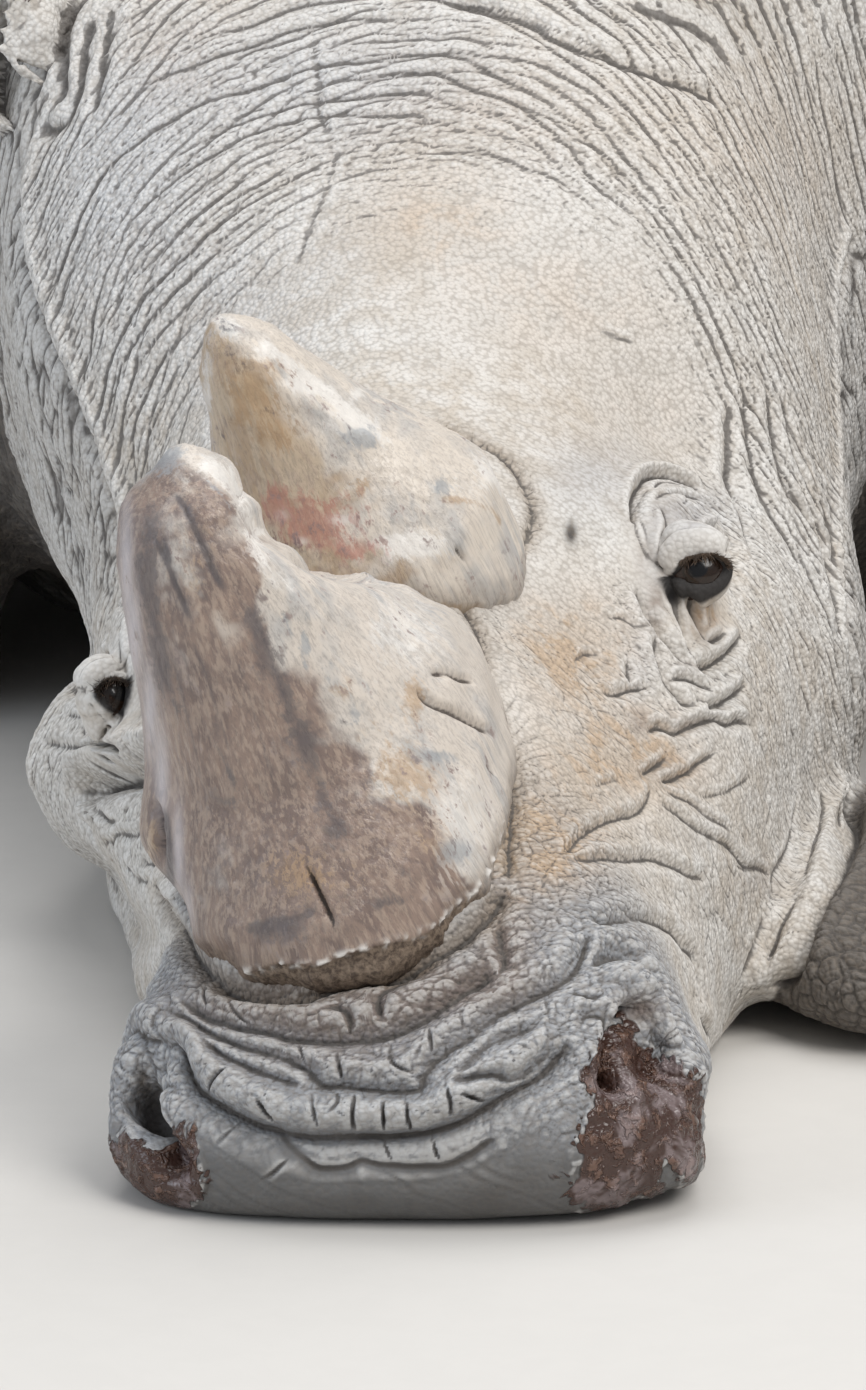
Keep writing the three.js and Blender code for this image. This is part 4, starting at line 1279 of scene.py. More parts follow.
# Where the brown of the front horn is paler, or darker if negative.
HORN_PALE = [(188, 560, 34, 70, 0.5), (215, 640, 26, 40, 0.4), (220, 880, 30, 30, 0.4),
    (375, 800, 26, 20, 0.3), (165, 462, 44, 28, 0.6), (440, 850, 26, 32, -0.6), (440, 800, 20, 30, -0.3),
    (268, 800, 26, 30, 0.25)]
# The border between the two horns.
HORN_BORDER = [(120, 430), (235, 475), (275, 545), (330, 575), (400, 572), (470, 600), (500, 690)]
FRONT_FOOT_ROWS = (850, 905)  # the pixels' rows between which the front horn's foot begins
FIBRE_STRETCH = 14  # how much longer a horn's fibres are than wide


def streaked(spot, lines):
    """How much each seen place belongs to long marks."""
    total = np.zeros(len(spot))
    for half, strength, marks in lines:
        index, gap, ends, _ = beside(spot, curve_through(marks, 8), 3 * half, 20)
        total[index] += strength * ends * bell(gap, half)
    return total


def near_skin(surface, co, reach):
    """The skin's normal near each point, and how near the skin is: 1 on it, 0 at the reach."""
    out = np.zeros(co.shape)
    nearness = np.zeros(len(co))
    for i, point in enumerate(co):
        _, normal, _, gap = surface.find_nearest(Vector(point), reach)
        if normal:
            out[i] = normal
            nearness[i] = 1 - gap / reach
    return out, nearness


def along_horn(co, name):
    # LIP_ROWS also darken the muzzle towards its bottom: partly the upper lip's own darker skin, partly
    # painted shade under the muzzle.
    """Points with a horn's length pressed together, so that noise in them is drawn out into fibres."""
    marks = np.array([[x * MM, LIP_Y + s * MM, z * MM] for x, s, z in HORN_AXES[name]])
    axis = curve_through(turned(marks), 0.01)
    way = axis[-1] - axis[0]
    way /= np.linalg.norm(way)
    _, along, _ = from_line(co, axis)
    run = along * np.linalg.norm(np.diff(axis, axis=0), axis=1).sum()
    return co - (co @ way)[:, None] * way + way * (run / FIBRE_STRETCH)[:, None]


def horn_relief(co, fibre, root, tree, front):
    """How far each point of a horn stands out, in mm, and how much it belongs to the band and the beads."""
    shape = 1.3 * noise(co / 0.05, 61) + 0.6 * noise(co / 0.02, 62)
    shape += 0.5 * noise(fibre / 0.005, 63) + 0.45 * noise(fibre / 0.0024, 64)
    wandering = warped(co, 0.02, 1.2 * MM, 67)
    for depth, width, marks in HORN_CUTS.values():
        line = touched(tree, curve_through(marks, 4)) if on_horn(marks, front) else []
        if len(line) > 2:
            index, gap, ends, _ = beside(wandering, line, 4 * width * MM)
            shape[index] -= depth * ends * bell(gap, width * MM)
    bead = np.zeros(len(co))
    band = smooth(0.55, 0.9, root + 0.06 * noise(co / 0.02, 68)) * (1 if front else 0.35)
    if front:
        line = touched(tree, curve_through(BEADS, 4))
        gap, _, _ = from_line(wandering, line)
        bead = bell(gap, 2.0 * MM) * smooth(-0.1, 0.35, noise(co / 0.0045, 69))
        shape += 1.6 * bead
        spot, _ = pixels(co)
        below = smooth(*FRONT_FOOT_ROWS, spot[:, 1])
        over = over_line(co, line)
        band = np.maximum(band * 0.6, below * (1 - smooth(-2 * MM, 1 * MM, over)))
        shape += 4 * below * smooth(4 * MM, 20 * MM, -over) + marked(spot, HORN_BULGES)
    shape += band * (0.9 * noise(co / 0.004, 70) - 1.5)
    return shape * (1 - smooth(0.95, 1.0, root)), band, bead


def horn_mesh(name, surface):
    """A horn in fine mesh from its CAD node, with fibres, cuts and a root sunk into the skin."""
    mesh = remeshed(solid_of([name], 2.6 * MM), 3 * MM)
    relaxed(mesh, 0.5, 10)
    mesh = refined(mesh, seen_from_front(mesh, 1))
    co, no = coords(mesh), normals(mesh)
    sink, root = near_skin(surface, co, 40 * MM)
    fibre = along_horn(co, name)
    front = name == "horn_front"
    shape, band, bead = horn_relief(co, fibre, root, tree_of(mesh), front)
    co = co + (shape * MM)[:, None] * no - sink * (14 * MM * smooth(0.93, 1.0, root))[:, None]
    set_coords(mesh, co)
    spot, _ = pixels(co)
    for mark in {**HORN_MARKS, **HORN_STREAKS}:
        places = [place for place in HORN_MARKS.get(mark, []) if on_horn([place[:2]], front)]
        lines = [line for line in HORN_STREAKS.get(mark, []) if on_horn(line[2], front)]
        attribute(mesh, mark, np.clip(marked(spot, places) + streaked(spot, lines), 0, 1.2))
    attribute(mesh, "pale", paleness(co, no, spot, front))
    attribute(mesh, "fibre", fibre)
    attribute(mesh, "band", band)
    attribute(mesh, "bead", bead)
    attribute(mesh, "hollow", np.clip(hollow_of(mesh, co, normals(mesh), 4), -2, 2))
    smooth_shaded(mesh)
    return mesh


def paleness(co, no, spot, front):
    """How worn and pale each point of a horn is: the front one's slope, where it shows."""
    facing = no @ np.array([0.75, 0.25, 0.62])
    if not front:
        return smooth(-0.6, 0.3, facing)
    past_slope = spot[:, 0] - edge_in_row(HORN_SLOPE, spot) + 26 * noise(co / 0.03, 71)
    hidden = smooth(0.1, -0.2, dot(no, CAMERA - co))
    pale = np.clip(smooth(-26, 22, past_slope) + marked(spot, HORN_PALE), 0, 1) * (1 - hidden)
    return pale + smooth(0.05, 0.6, facing) * hidden


def on_horn(marks, front):
    """Whether marks lie on the front horn, or on the rear one if not front."""
    x, y = np.mean([mark[:2] for mark in marks], axis=0)
    return (y > np.interp(x, *np.transpose(HORN_BORDER))) == front


def over_line(co, line):
    """How far above a line points are seen, in metres where they are."""
    spot, away = pixels(co)
    mark, _ = pixels(line)
    order = np.argsort(mark[:, 0])
    return (np.interp(spot[:, 0], mark[order, 0], mark[order, 1]) - spot[:, 1]) * away / FOCAL


# ------------------------------------------------------------------ eyes and toenails


def eye_mesh(seat):
    """An eyeball with a slightly raised cornea over its iris."""
    work = bmesh.new()
    bmesh.ops.create_uvsphere(work, u_segments=64, v_segments=48, radius=seat["radius"])
    mesh = bpy.data.meshes.new("eye")
    work.to_mesh(mesh)
    work.free()
    corner, up, out = seat["axes"]
    co = coords(mesh)
    gaze = out * 0.97 + corner * 0.12
    gaze /= np.linalg.norm(gaze)
    off = np.arccos(np.clip(co @ gaze / seat["radius"], -1, 1))
    wide = np.hypot(co @ corner / 1.35, co @ up) / seat["radius"]
    co *= (1 + 0.045 * (1 - smooth(0.45, 0.75, off)))[:, None]
    set_coords(mesh, co + seat["centre"])
    attribute(mesh, "off", off)
    attribute(mesh, "wide", np.where(off < 1.2, wide, 1))
    smooth_shaded(mesh)
    return mesh


def nail_mesh(foot, surface):
    """The three toenails of a foot, which don't touch, ridged lengthwise and sunk into its skin."""
    mesh = voxelled(solid_of([f"nail_{foot}_{i}" for i in (1, 2, 3)], 0.3 * MM), 2.4 * MM)
    relaxed(mesh, 0.5, 5)
    co, no = coords(mesh), normals(mesh)
    sink, nearness = near_skin(surface, co, 12 * MM)
    ridges = co * [1, 1, 0.16]
    shape = 0.7 * noise(ridges / 0.006, 81) + 1.2 * noise(co / 0.025, 82)
    shape -= 0.8 * smooth(0.4, 0.8, noise(ridges / 0.012, 83))
    co = co + (shape * MM)[:, None] * no - sink * nearness[:, None] * 12 * MM
    co[:, 2] = np.maximum(co[:, 2], 0)
    set_coords(mesh, co)
    attribute(mesh, "fibre", ridges)
    smooth_shaded(mesh)
    return mesh


# ------------------------------------------------------------------ coat

SEED = 20


def bristles(name, roots, lies, bends, lengths, thickness):
    """Solid tapered hairs over the skin, with a map that puts each on its root's place."""
    count, rings, sides = len(roots), 5, 3
    lies = lies / np.linalg.norm(lies, axis=1)[:, None]
    any_side = np.cross(lies, [0.3, 0.5, 0.81])
    aside = any_side / np.linalg.norm(any_side, axis=1)[:, None]
    upward = np.cross(lies, aside)
    verts = []
    for ring in range(rings):
        t = ring / (rings - 1)
        middle = roots + lies * (lengths * t)[:, None] + bends * (lengths * t**2)[:, None]
        wide = thickness * (1 - t) ** 0.7 + 0.04 * MM
        for side in range(sides):
            turn = 2 * math.pi * side / sides
            out = aside * math.cos(turn) + upward * math.sin(turn)
            verts.append(middle + out * wide)
    co = np.stack(verts, axis=1).reshape(-1, 3)
    co[:, 2] = np.maximum(co[:, 2], 0.3 * MM)
    faces, spots = [], []
    patch = 0.003
    for ring, side in product(range(rings - 1), range(sides)):
        a, b = ring * sides + side, ring * sides + (side + 1) % sides
        faces.append([a, b, b + sides, a + sides])
        at = np.array([[side, ring], [side + 1, ring], [side + 1, ring + 1], [side, ring + 1]])
        spots.append(at / [sides, rings - 1] - 0.5)
    pattern = np.array(faces)
    loops = (pattern[None] + np.arange(count)[:, None, None] * rings * sides).reshape(-1, 4)
    mesh = bpy.data.meshes.new(name)
    mesh.from_pydata(co.tolist(), [], loops.tolist())
    layer = mesh.uv_layers.new(name="OFBake")
    uv = root_spots(roots)[:, None, None, :] + patch * np.array(spots)[None]
    layer.data.foreach_set("uv", np.clip(uv, 0, 1).astype(np.float32).ravel())
    smooth_shaded(mesh)
    return mesh


def skin_places(box, reach, wanted):
    """Places and normals of skin vertices in a box grown by a reach, where a stored value is wanted."""
    mesh = bpy.data.objects["skin"].data
    co, no = coords(mesh), normals(mesh)
    hollow = np.empty(len(co), np.float32)
    mesh.attributes["hollow"].data.foreach_get("value", hollow)
    low, high = (np.array(corner) for corner in box)
    inside = np.all((co > low - reach) & (co < high + reach), axis=1)
    chosen = np.flatnonzero(inside & wanted(co, hollow))
    return co[chosen], no[chosen]


def root_spots(roots):
    """Where each root lies on the skin unrolled round the animal's length, cut along the belly."""
    low, high = (np.array(corner) for corner in cad_box)
    middle = [(low[0] + high[0]) / 2, 0.4 * high[2]]
    along = (roots[:, 1] - low[1]) / (high[1] - low[1])
    around = np.arctan2(roots[:, 0] - middle[0], roots[:, 2] - middle[1]) / (2 * np.pi) + 0.5
    return np.column_stack([0.02 + 0.96 * along, 0.02 + 0.96 * around])


def ear_fringe(name, side):
    """Short hair along the rim of an ear."""
    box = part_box(name)
    middle = (box[0].z + box[1].z) / 2 - 0.04

    def on_rim(co, hollow):
        return (hollow < -0.28) & (co[:, 2] > middle)

    roots, no = skin_places(box, 0.01, on_rim)
    rng = np.random.default_rng(SEED + side)
    chosen = rng.choice(len(roots), min(1500, len(roots)), replace=False)
    roots, no = roots[chosen], no[chosen]
    lies = no + [0, 0, 0.5] + rng.normal(0, 0.28, roots.shape)
    lengths = rng.uniform(0.010, 0.028, len(roots))
    bends = rng.normal(0, 0.12, roots.shape) + [0, 0, 0.15]
    return bristles(f"fringe_{name}", roots, lies, bends, lengths, 0.45 * MM)


def tail_tuft():
    """Coarse bristles along the end of the tail."""
    low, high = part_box("tail")
    tip = np.array([high.x, high.y, 0.018])

    def near_tip(co, hollow):
        return np.linalg.norm(co - tip, axis=1) < 0.24

    roots, no = skin_places((low, high), 0.01, near_tip)
    rng = np.random.default_rng(SEED)
    chosen = rng.choice(len(roots), min(1300, len(roots)), replace=False)
    roots, no = roots[chosen], no[chosen]
    heading = np.array([0.72, 0.66, -0.05])
    lies = heading + 0.42 * no + rng.normal(0, 0.16, roots.shape)
    nearness = np.clip(1.15 - np.linalg.norm(roots - tip, axis=1) * 2, 0.4, 1)
    lengths = rng.uniform(0.035, 0.085, len(roots)) * nearness
    room = (np.array([high.x, high.y]) + 8 * MM - roots[:, :2]) / 0.9
    lengths = np.minimum(lengths, np.clip(room.min(axis=1), 0.010, None))
    bends = rng.normal(0, 0.12, roots.shape) + [0.1, -0.02, -0.22]
    return bristles("tail_tuft", roots, lies, bends, lengths, 0.6 * MM)


def lashes(name, seat):
    """Lashes along the upper lid, drooping over the eye."""
    corner, up, out = seat["axes"]
    rng = np.random.default_rng(SEED + 5)
    rim = curve_through(seat["opening"][2:8], 0.25 * MM)
    chosen = rng.choice(len(rim), 190)
    middle = seat["opening"].mean(0)
    spots = middle + (rim[chosen] - middle) * (1 + rng.uniform(0.03, 0.30, len(chosen)))[:, None]
    angle = np.linalg.norm(spots, axis=1) / seat["radius"]
    way = spots / np.linalg.norm(spots, axis=1)[:, None]
    flat = way[:, :1] * corner + way[:, 1:] * up
    ball = flat * np.sin(angle)[:, None] + out * np.cos(angle)[:, None]
    roots = seat["centre"] + ball * (seat["radius"] + LIDS["thick"] - 0.2 * MM)
    share = (rim[chosen] @ [1, 0])[:, None] / 20 / MM
    lies = 0.8 * out - 0.75 * up + 0.55 * share * corner + rng.normal(0, 0.15, roots.shape)
    bends = 0.25 * up + 0.2 * share * corner + rng.normal(0, 0.1, roots.shape)
    lengths = rng.uniform(0.005, 0.012, len(roots))
    return bristles(f"lashes_{name}", roots, lies, bends, lengths, 0.24 * MM)


# ------------------------------------------------------------------ shader building blocks


def put(tree, kind, sockets=None, **settings):
    """Adds a shader node, with values or links for its sockets."""
    node = tree.nodes.new("ShaderNode" + kind)
    for key, value in settings.items():
        setattr(node, key, value)
    for key, value in (sockets or {}).items():
        plug(tree, node.inputs[key], value)
    return node


def plug(tree, socket, value):
    """Links a socket, or sets its value; a colour may come without its alpha."""
    if isinstance(value, bpy.types.NodeSocket):
        tree.links.new(value, socket)
    elif socket.type == "RGBA":
        socket.default_value = (*value, 1.0)[:4]
    else:
        socket.default_value = value


def calc(tree, operation, *values):
    return put(tree, "Math", dict(enumerate(values)), operation=operation).outputs[0]


def ranged(tree, value, low, high, to_low=0.0, to_high=1.0):
    """A value eased from one range to another."""
    sockets = {0: value, 1: low, 2: high, 3: to_low, 4: to_high}
    return put(tree, "MapRange", sockets, interpolation_type="SMOOTHSTEP").outputs[0]


def blend(tree, factor, first, second):
    """One colour going over into another."""
    return put(tree, "Mix", {0: factor, 6: first, 7: second}, data_type="RGBA").outputs[2]


def stored(tree, name, kind="Fac"):
    return put(tree, "Attribute", attribute_name=name).outputs[kind]


def group(name, sockets, results, build):
    """A shader group, made once: its inputs with their defaults, its outputs and what links them."""
    tree = bpy.data.node_groups.get(name)
    if tree:
        return tree
    tree = bpy.data.node_groups.new(name, "ShaderNodeTree")
    for socket, value in sockets.items():
        kind = "NodeSocketFloat" if isinstance(value, float) else "NodeSocketVector"
        made = tree.interface.new_socket(socket, in_out="INPUT", socket_type=kind)
        if isinstance(value, float):
            made.default_value = value
    for socket in results:
        tree.interface.new_socket(socket, in_out="OUTPUT", socket_type="NodeSocketFloat")
    entry, leave = tree.nodes.new("NodeGroupInput"), tree.nodes.new("NodeGroupOutput")
    for socket, value in build(tree, entry.outputs).items():
        plug(tree, leave.inputs[socket], value)
    return tree


def use(tree, made, sockets):
    node = tree.nodes.new("ShaderNodeGroup")
    node.node_tree = made
    for key, value in sockets.items():
        plug(tree, node.inputs[key], value)
    return node.outputs


def pebbles_group():
    """Fine pebbled grain, drawn out a little along the wrinkles."""
    def build(tree, given):
        scaled = put(tree, "VectorMath", {0: given["Lie"], "Scale": given["Stretched"]}, operation="SCALE")
        mixed = put(tree, "VectorMath", {0: given["Place"], 1: scaled.outputs[0]}, operation="ADD")
        cell = put(tree, "TexVoronoi", {"Vector": mixed.outputs[0], "Scale": given["Scale"]}, feature="F1")
        ripple = put(tree, "TexNoise", {"Vector": given["Lie"], "Scale": given["Ripples"], "Detail": 1.0})
        far = cell.outputs["Distance"]
        drawn = calc(tree, "MULTIPLY", ripple.outputs["Fac"], given["Ripple"])
        gaps = ranged(tree, calc(tree, "SUBTRACT", far, calc(tree, "MULTIPLY", drawn, 0.3)), 0.32, 0.72)
        return {"Height": calc(tree, "SUBTRACT", drawn, calc(tree, "MULTIPLY", far, 0.8)), "Gaps": gaps}
    sockets = {"Place": Vector(), "Lie": Vector(), "Scale": 300.0, "Stretched": 0.07, "Ripples": 190.0,
        "Ripple": 0.45}
    return group("pebbled grain", sockets, ["Height", "Gaps"], build)


def mottle_group():
    """Soft patches of an uneven surface, as a mask."""
    def build(tree, given):
        noise_node = put(tree, "TexNoise", {"Vector": given["Place"], "Scale": given["Scale"],
            "Detail": 3.0, "Roughness": 0.66, "Distortion": given["Swirl"]})
        low = calc(tree, "SUBTRACT", given["Level"], given["Softness"])
        high = calc(tree, "ADD", given["Level"], given["Softness"])
        return {"Mask": ranged(tree, noise_node.outputs["Fac"], low, high)}
    sockets = {"Place": Vector(), "Scale": 8.0, "Level": 0.5, "Softness": 0.12, "Swirl": 0.4}
    return group("mottling", sockets, ["Mask"], build)


def mottled(tree, place, scale, level=0.5, softness=0.12, swirl=0.4):
    """A mask of soft patches."""
    sockets = {"Place": place, "Scale": scale, "Level": level, "Softness": softness, "Swirl": swirl}
    return use(tree, mottle_group(), sockets)["Mask"]


def washed(tree, base, mask, share, tint):
    """A thin wash of one colour over another, where a mask is."""
    return blend(tree, calc(tree, "MULTIPLY", mask, share), base, tint)


def material(name):
    """An empty material, its tree and the place on the piece."""
    made = bpy.data.materials.new(name)
    made.use_nodes = True
    tree = made.node_tree
    tree.nodes.clear()
    return made, tree, put(tree, "TexCoord").outputs["Object"]


def surfaced(tree, base, roughness, height, strength=1.0, distance=1.0 * MM, **fixed):
    """Ends a material: its shader, with constants set on the sockets themselves."""
    bump = put(tree, "Bump", {"Height": height, "Strength": strength, "Distance": distance})
    shader = put(tree, "BsdfPrincipled", {"Base Color": base, "Roughness": roughness,
        "Normal": bump.outputs[0]})
    for key, value in fixed.items():
        shader.inputs[key.replace("_", " ").title().replace("Ior", "IOR")].default_value = value
    put(tree, "OutputMaterial", {0: shader.outputs[0]})


def hide_material(look):
    made, tree, place = material("hide")
    lie = stored(tree, "lie", "Vector")
    patches = mottled(tree, place, 7.0, 0.5, 0.16)
    small = mottled(tree, place, 46.0, 0.52, 0.16)
    grain = use(tree, pebbles_group(), {"Place": place, "Lie": lie})
    base = blend(tree, patches, look.pale, look.warm)
    base = washed(tree, base, small, 0.6, look.chalk)
    # The lip is darker towards the bottom of the muzzle: its own darker skin and painted shade.
    lip = blend(tree, stored(tree, "lip"), look.muzzle, look.lip)
    base = blend(tree, calc(tree, "MULTIPLY", stored(tree, "muzzle"), 0.85), base, lip)
    base = washed(tree, base, stored(tree, "rear"), 0.85, look.grey)
    # Legs and the lowest trunk are washed dark, most at the forelegs beside the head: dirt, and at those
    # forelegs also painted shade of the head.
    base = washed(tree, base, stored(tree, "leg"), 0.93, look.leg)
    ragged = calc(tree, "MULTIPLY", stored(tree, "ochre"), ranged(tree, small, 0.0, 1.0, 0.45, 1.2))
    base = blend(tree, calc(tree, "MINIMUM", ragged, 0.85), base, look.ochre)
    # Blue grey: bare skin through the dust, with painted shade on the crown and painted sheen on the mud.
    base = washed(tree, base, stored(tree, "blue"), 0.5, look.blue)
    # Umber: brown dirt in folds, and painted shade under the front horn's foot.
    base = washed(tree, base, stored(tree, "umber_and_shade"), 0.7, look.umber_and_shade)
    base = blend(tree, stored(tree, "dark"), base, look.crack)
    worn = ranged(tree, stored(tree, "hollow"), -0.02, -0.5, 0.0, 0.4)
    worn = calc(tree, "MULTIPLY", worn, ranged(tree, stored(tree, "leg"), 0.0, 1.0, 1.0, 0.12))
    base = blend(tree, worn, base, look.chalk)
    base = washed(tree, base, stored(tree, "crust"), 0.6, look.crust)
    pores = calc(tree, "MULTIPLY", grain["Gaps"], ranged(tree, stored(tree, "sleek"), 0.0, 1.0, 0.36, 0.12))
    base = blend(tree, pores, base, look.pore)
    # Painted shade: darker in small and broad hollows and along creases, where dirt also sits.
    base = blend(tree, ranged(tree, stored(tree, "fine"), 0.01, 0.22, 0.0, 0.5), base, look.crack)
    hollow = ranged(tree, stored(tree, "hollow"), 0.05, 0.8, 0.0, 0.5)
    base = blend(tree, hollow, base, look.crack)
    base = blend(tree, ranged(tree, stored(tree, "crease"), 0.15, 0.85, 0.0, 0.78), base, look.crack)
    # The dark rims round the eyes: the lids' own dark skin with painted shade, widest under the eye.
    base = washed(tree, base, stored(tree, "rim"), 0.97, look.rim)

    edge = ranged(tree, small, 0.0, 1.0, -0.35, 0.35)
    mud = ranged(tree, calc(tree, "ADD", stored(tree, "mud"), edge), 0.55, 0.68)
    clod = mottled(tree, place, 110.0, 0.56, 0.07)
    sheen = mottled(tree, place, 38.0, 0.56, 0.06)
    earth = blend(tree, clod, look.mud, look.mud_dry)
    # Painted reflection: patches of lilac-grey sheen washed over the wet mud.
    earth = washed(tree, earth, sheen, 0.5, look.mud_sheen)
    base = blend(tree, mud, base, earth)
    roughness = blend(tree, mud, (0.78, 0.78, 0.78), (0.25, 0.25, 0.25))
    muddy = calc(tree, "MULTIPLY", mud, calc(tree, "ADD", 1.0, clod))
    fineness = ranged(tree, stored(tree, "sleek"), 0.0, 1.0, 1.0, 0.4)
    height = calc(tree, "MULTIPLY", grain["Height"], fineness)
    surfaced(tree, base, roughness, calc(tree, "ADD", height, muddy), 1.0, 1.4 * MM)
    return made


def horn_material(look, name, streak, body, barred):
    """Keratin: a streaked body, pale worn slopes, stains, a painted highlight along the front horn's edge,
    painted shade in cuts and hollows, a soft brown band partly darkened as painted shade, and a rim of beads.
    """
    made, tree, place = material(name)
    fibre = stored(tree, "fibre", "Vector")
    broad = mottled(tree, fibre, 70.0, 0.5, 0.07, 0.2)
    thin = mottled(tree, fibre, 300.0, 0.52, 0.08, 0.0)
    hair = mottled(tree, fibre, 700.0, 0.55, 0.06, 0.0)
    cloud = mottled(tree, place, 24.0, 0.5, 0.16)
    fleck = mottled(tree, place, 120.0, 0.56, 0.12)
    velvet = mottled(tree, place, 300.0, 0.5, 0.2)
    base = washed(tree, body, broad, barred, streak)
    base = washed(tree, base, thin, 0.5, look.light)
    pale = calc(tree, "ADD", stored(tree, "pale"), ranged(tree, cloud, 0.0, 1.0, -0.25, 0.25))
    base = washed(tree, base, ranged(tree, pale, 0.2, 0.8), 0.85, look.cream)
    veined = calc(tree, "MULTIPLY", calc(tree, "MULTIPLY", broad, cloud), 0.5)
    base = washed(tree, base, veined, stored(tree, "pale"), look.blue)
    base = washed(tree, base, hair, 0.2, look.dark)
    edge = ranged(tree, cloud, 0.0, 1.0, -0.25, 0.2)
    for mask, low, high in ((thin, -0.2, 0.12), (fleck, -0.1, 0.15)):
        edge = calc(tree, "ADD", edge, ranged(tree, mask, 0.0, 1.0, low, high))
    # Painted highlight along the front horn's left edge.
    base = washed(tree, base, stored(tree, "lilac_highlight"), 0.8, look.lilac_highlight)
    for mark, tint_of, most in (("white", look.wax, 0.8), ("ochre", look.ochre, 0.6), ("red", look.red, 0.75),
            ("blue", look.blue, 0.6), ("dark", look.dark, 0.7)):
        torn = ranged(tree, calc(tree, "ADD", stored(tree, mark), edge), 0.12, 0.8, 0.0, most)
        base = blend(tree, torn, base, tint_of)
    base = blend(tree, calc(tree, "MINIMUM", stored(tree, "line"), 0.8), base, look.dark)
    base = washed(tree, base, fleck, 0.10, look.dark)
    # Painted shade at the bottom of the horn's cuts and hollows.
    hollow = ranged(tree, stored(tree, "hollow"), 0.12, 0.9, 0.0, 0.85)
    base = blend(tree, hollow, base, look.slit)
    # The band's darker velvet is partly painted shade of its shadowed underside.
    soft = blend(tree, velvet, look.band, look.band_dark)
    base = blend(tree, stored(tree, "band"), base, soft)
    base = blend(tree, stored(tree, "bead"), base, look.wax)
    rough = ranged(tree, cloud, 0.0, 1.0, 0.30, 0.46)
    rough = calc(tree, "ADD", rough, calc(tree, "MULTIPLY", stored(tree, "band"), 0.4))
    height = calc(tree, "ADD", calc(tree, "MULTIPLY", thin, 0.5), calc(tree, "MULTIPLY", velvet, 0.25))
    height = calc(tree, "SUBTRACT", height, calc(tree, "MULTIPLY", hair, 0.4))
    surfaced(tree, base, rough, height, 0.45, 0.6 * MM)
    return made


def eye_material(look):
    made, tree, place = material("eye")
    off, wide = stored(tree, "off"), stored(tree, "wide")
    vein = mottled(tree, place, 700.0, 0.5, 0.2)
    iris = washed(tree, look.iris, vein, 0.6, look.iris_dark)
    base = blend(tree, ranged(tree, wide, 0.20, 0.26), (0.004, 0.004, 0.005), iris)
    base = blend(tree, ranged(tree, off, 0.60, 0.70), base, look.white)
    surfaced(tree, base, 0.2, vein, 0.02, 0.1 * MM, specular_ior_level=0.25, coat_weight=0.4,
        coat_roughness=0.03)
    return made


def nail_material(look):
    made, tree, place = material("toenail")
    fibre = stored(tree, "fibre", "Vector")
    streak = mottled(tree, fibre, 260.0, 0.5, 0.2)
    cloud = mottled(tree, place, 45.0)
    height = put(tree, "SeparateXYZ", {0: place}).outputs[2]
    base = washed(tree, look.horny, streak, 0.6, look.horny_dark)
    base = washed(tree, base, cloud, 0.4, look.worn)
    base = blend(tree, ranged(tree, height, 0.022, 0.004, 0.0, 0.7), base, look.worn)
    surfaced(tree, base, ranged(tree, cloud, 0.0, 1.0, 0.5, 0.7), streak, 0.5, 0.5 * MM)
    return made


def hair_material(look):
    made, tree, place = material("bristle")
    shade = mottled(tree, place, 90.0)
    base = blend(tree, shade, look.hair, look.hair_tip)
    surfaced(tree, base, 0.55, shade, 0.05, 0.1 * MM)
    return made


# ------------------------------------------------------------------ settings


def tint(name, description, default):
    return FloatVectorProperty(name=name, description=description, default=default, size=3,
        subtype="COLOR", min=0, max=1)


class RhinoHide(bpy.types.PropertyGroup):
    voxel: FloatProperty(name="Voxel", description="Grid size of the first remesh", default=10 * MM,
        unit="LENGTH", min=5 * MM)
    finest: FloatProperty(name="Finest part", description="How far behind the lip the finest mesh reaches",
        default=0.60, unit="LENGTH", min=0)
    folds: FloatProperty(name="Folds", description="How deep the folds are, 1 as in life", default=1.0, min=0)
    pale: tint("Pale hide", "Dusty cream of the face", (0.585, 0.56, 0.525))
    warm: tint("Warm hide", "Warmer patches of the face", (0.53, 0.475, 0.41))
    chalk: tint("Chalk", "Pale dust on raised skin", (0.74, 0.725, 0.70))
    muzzle: tint("Muzzle", "Cool grey of the muzzle", (0.235, 0.250, 0.276))
    # Its darkness is partly painted shade under the muzzle.
    lip: tint("Lip", "Dark smooth skin of the upper lip", (0.034, 0.036, 0.040))
    grey: tint("Grey hide", "Neck and trunk", (0.36, 0.355, 0.35))
    # Dirt, and at the forelegs beside the head also painted shade of the head.
    leg: tint("Legs", "Brown-grey of the legs and the belly", (0.066, 0.054, 0.044))
    # Umber is brown dirt in folds and also painted shade under the front horn's foot.
    umber_and_shade: tint("Umber", "Brown dirt in folds", (0.16, 0.105, 0.075))
    crust: tint("Crust", "Rough skin round the horns", (0.34, 0.27, 0.20))
    # Dark rims of the lids, partly painted shade in the eye's opening.
    rim: tint("Lid rims", "Dark rims of the eyelids", (0.012, 0.010, 0.010))
    ochre: tint("Ochre", "Rubbed-in earth", (0.47, 0.335, 0.215))
    # Blue grey is also laid on as painted shade on the crown and as painted sheen on the mud.
    blue: tint("Blue grey", "Bare skin through the dust", (0.40, 0.42, 0.46))
    # Crack is painted shade with dirt, at the bottom of creases, wrinkles, hollows and nostrils.
    crack: tint("Crack", "The bottom of creases", (0.082, 0.073, 0.066))
    pore: tint("Pore", "Dirt between the pebbles of the skin", (0.20, 0.165, 0.13))
    mud: tint("Mud", "Wet red mud", (0.055, 0.027, 0.020))
    # A painted reflection: the lilac-grey sheen of the wet mud.
    mud_sheen: tint("Pale mud", "Drying film over the mud", (0.33, 0.27, 0.275))
    mud_dry: tint("Dry mud", "Drying crumbs of mud", (0.14, 0.078, 0.056))


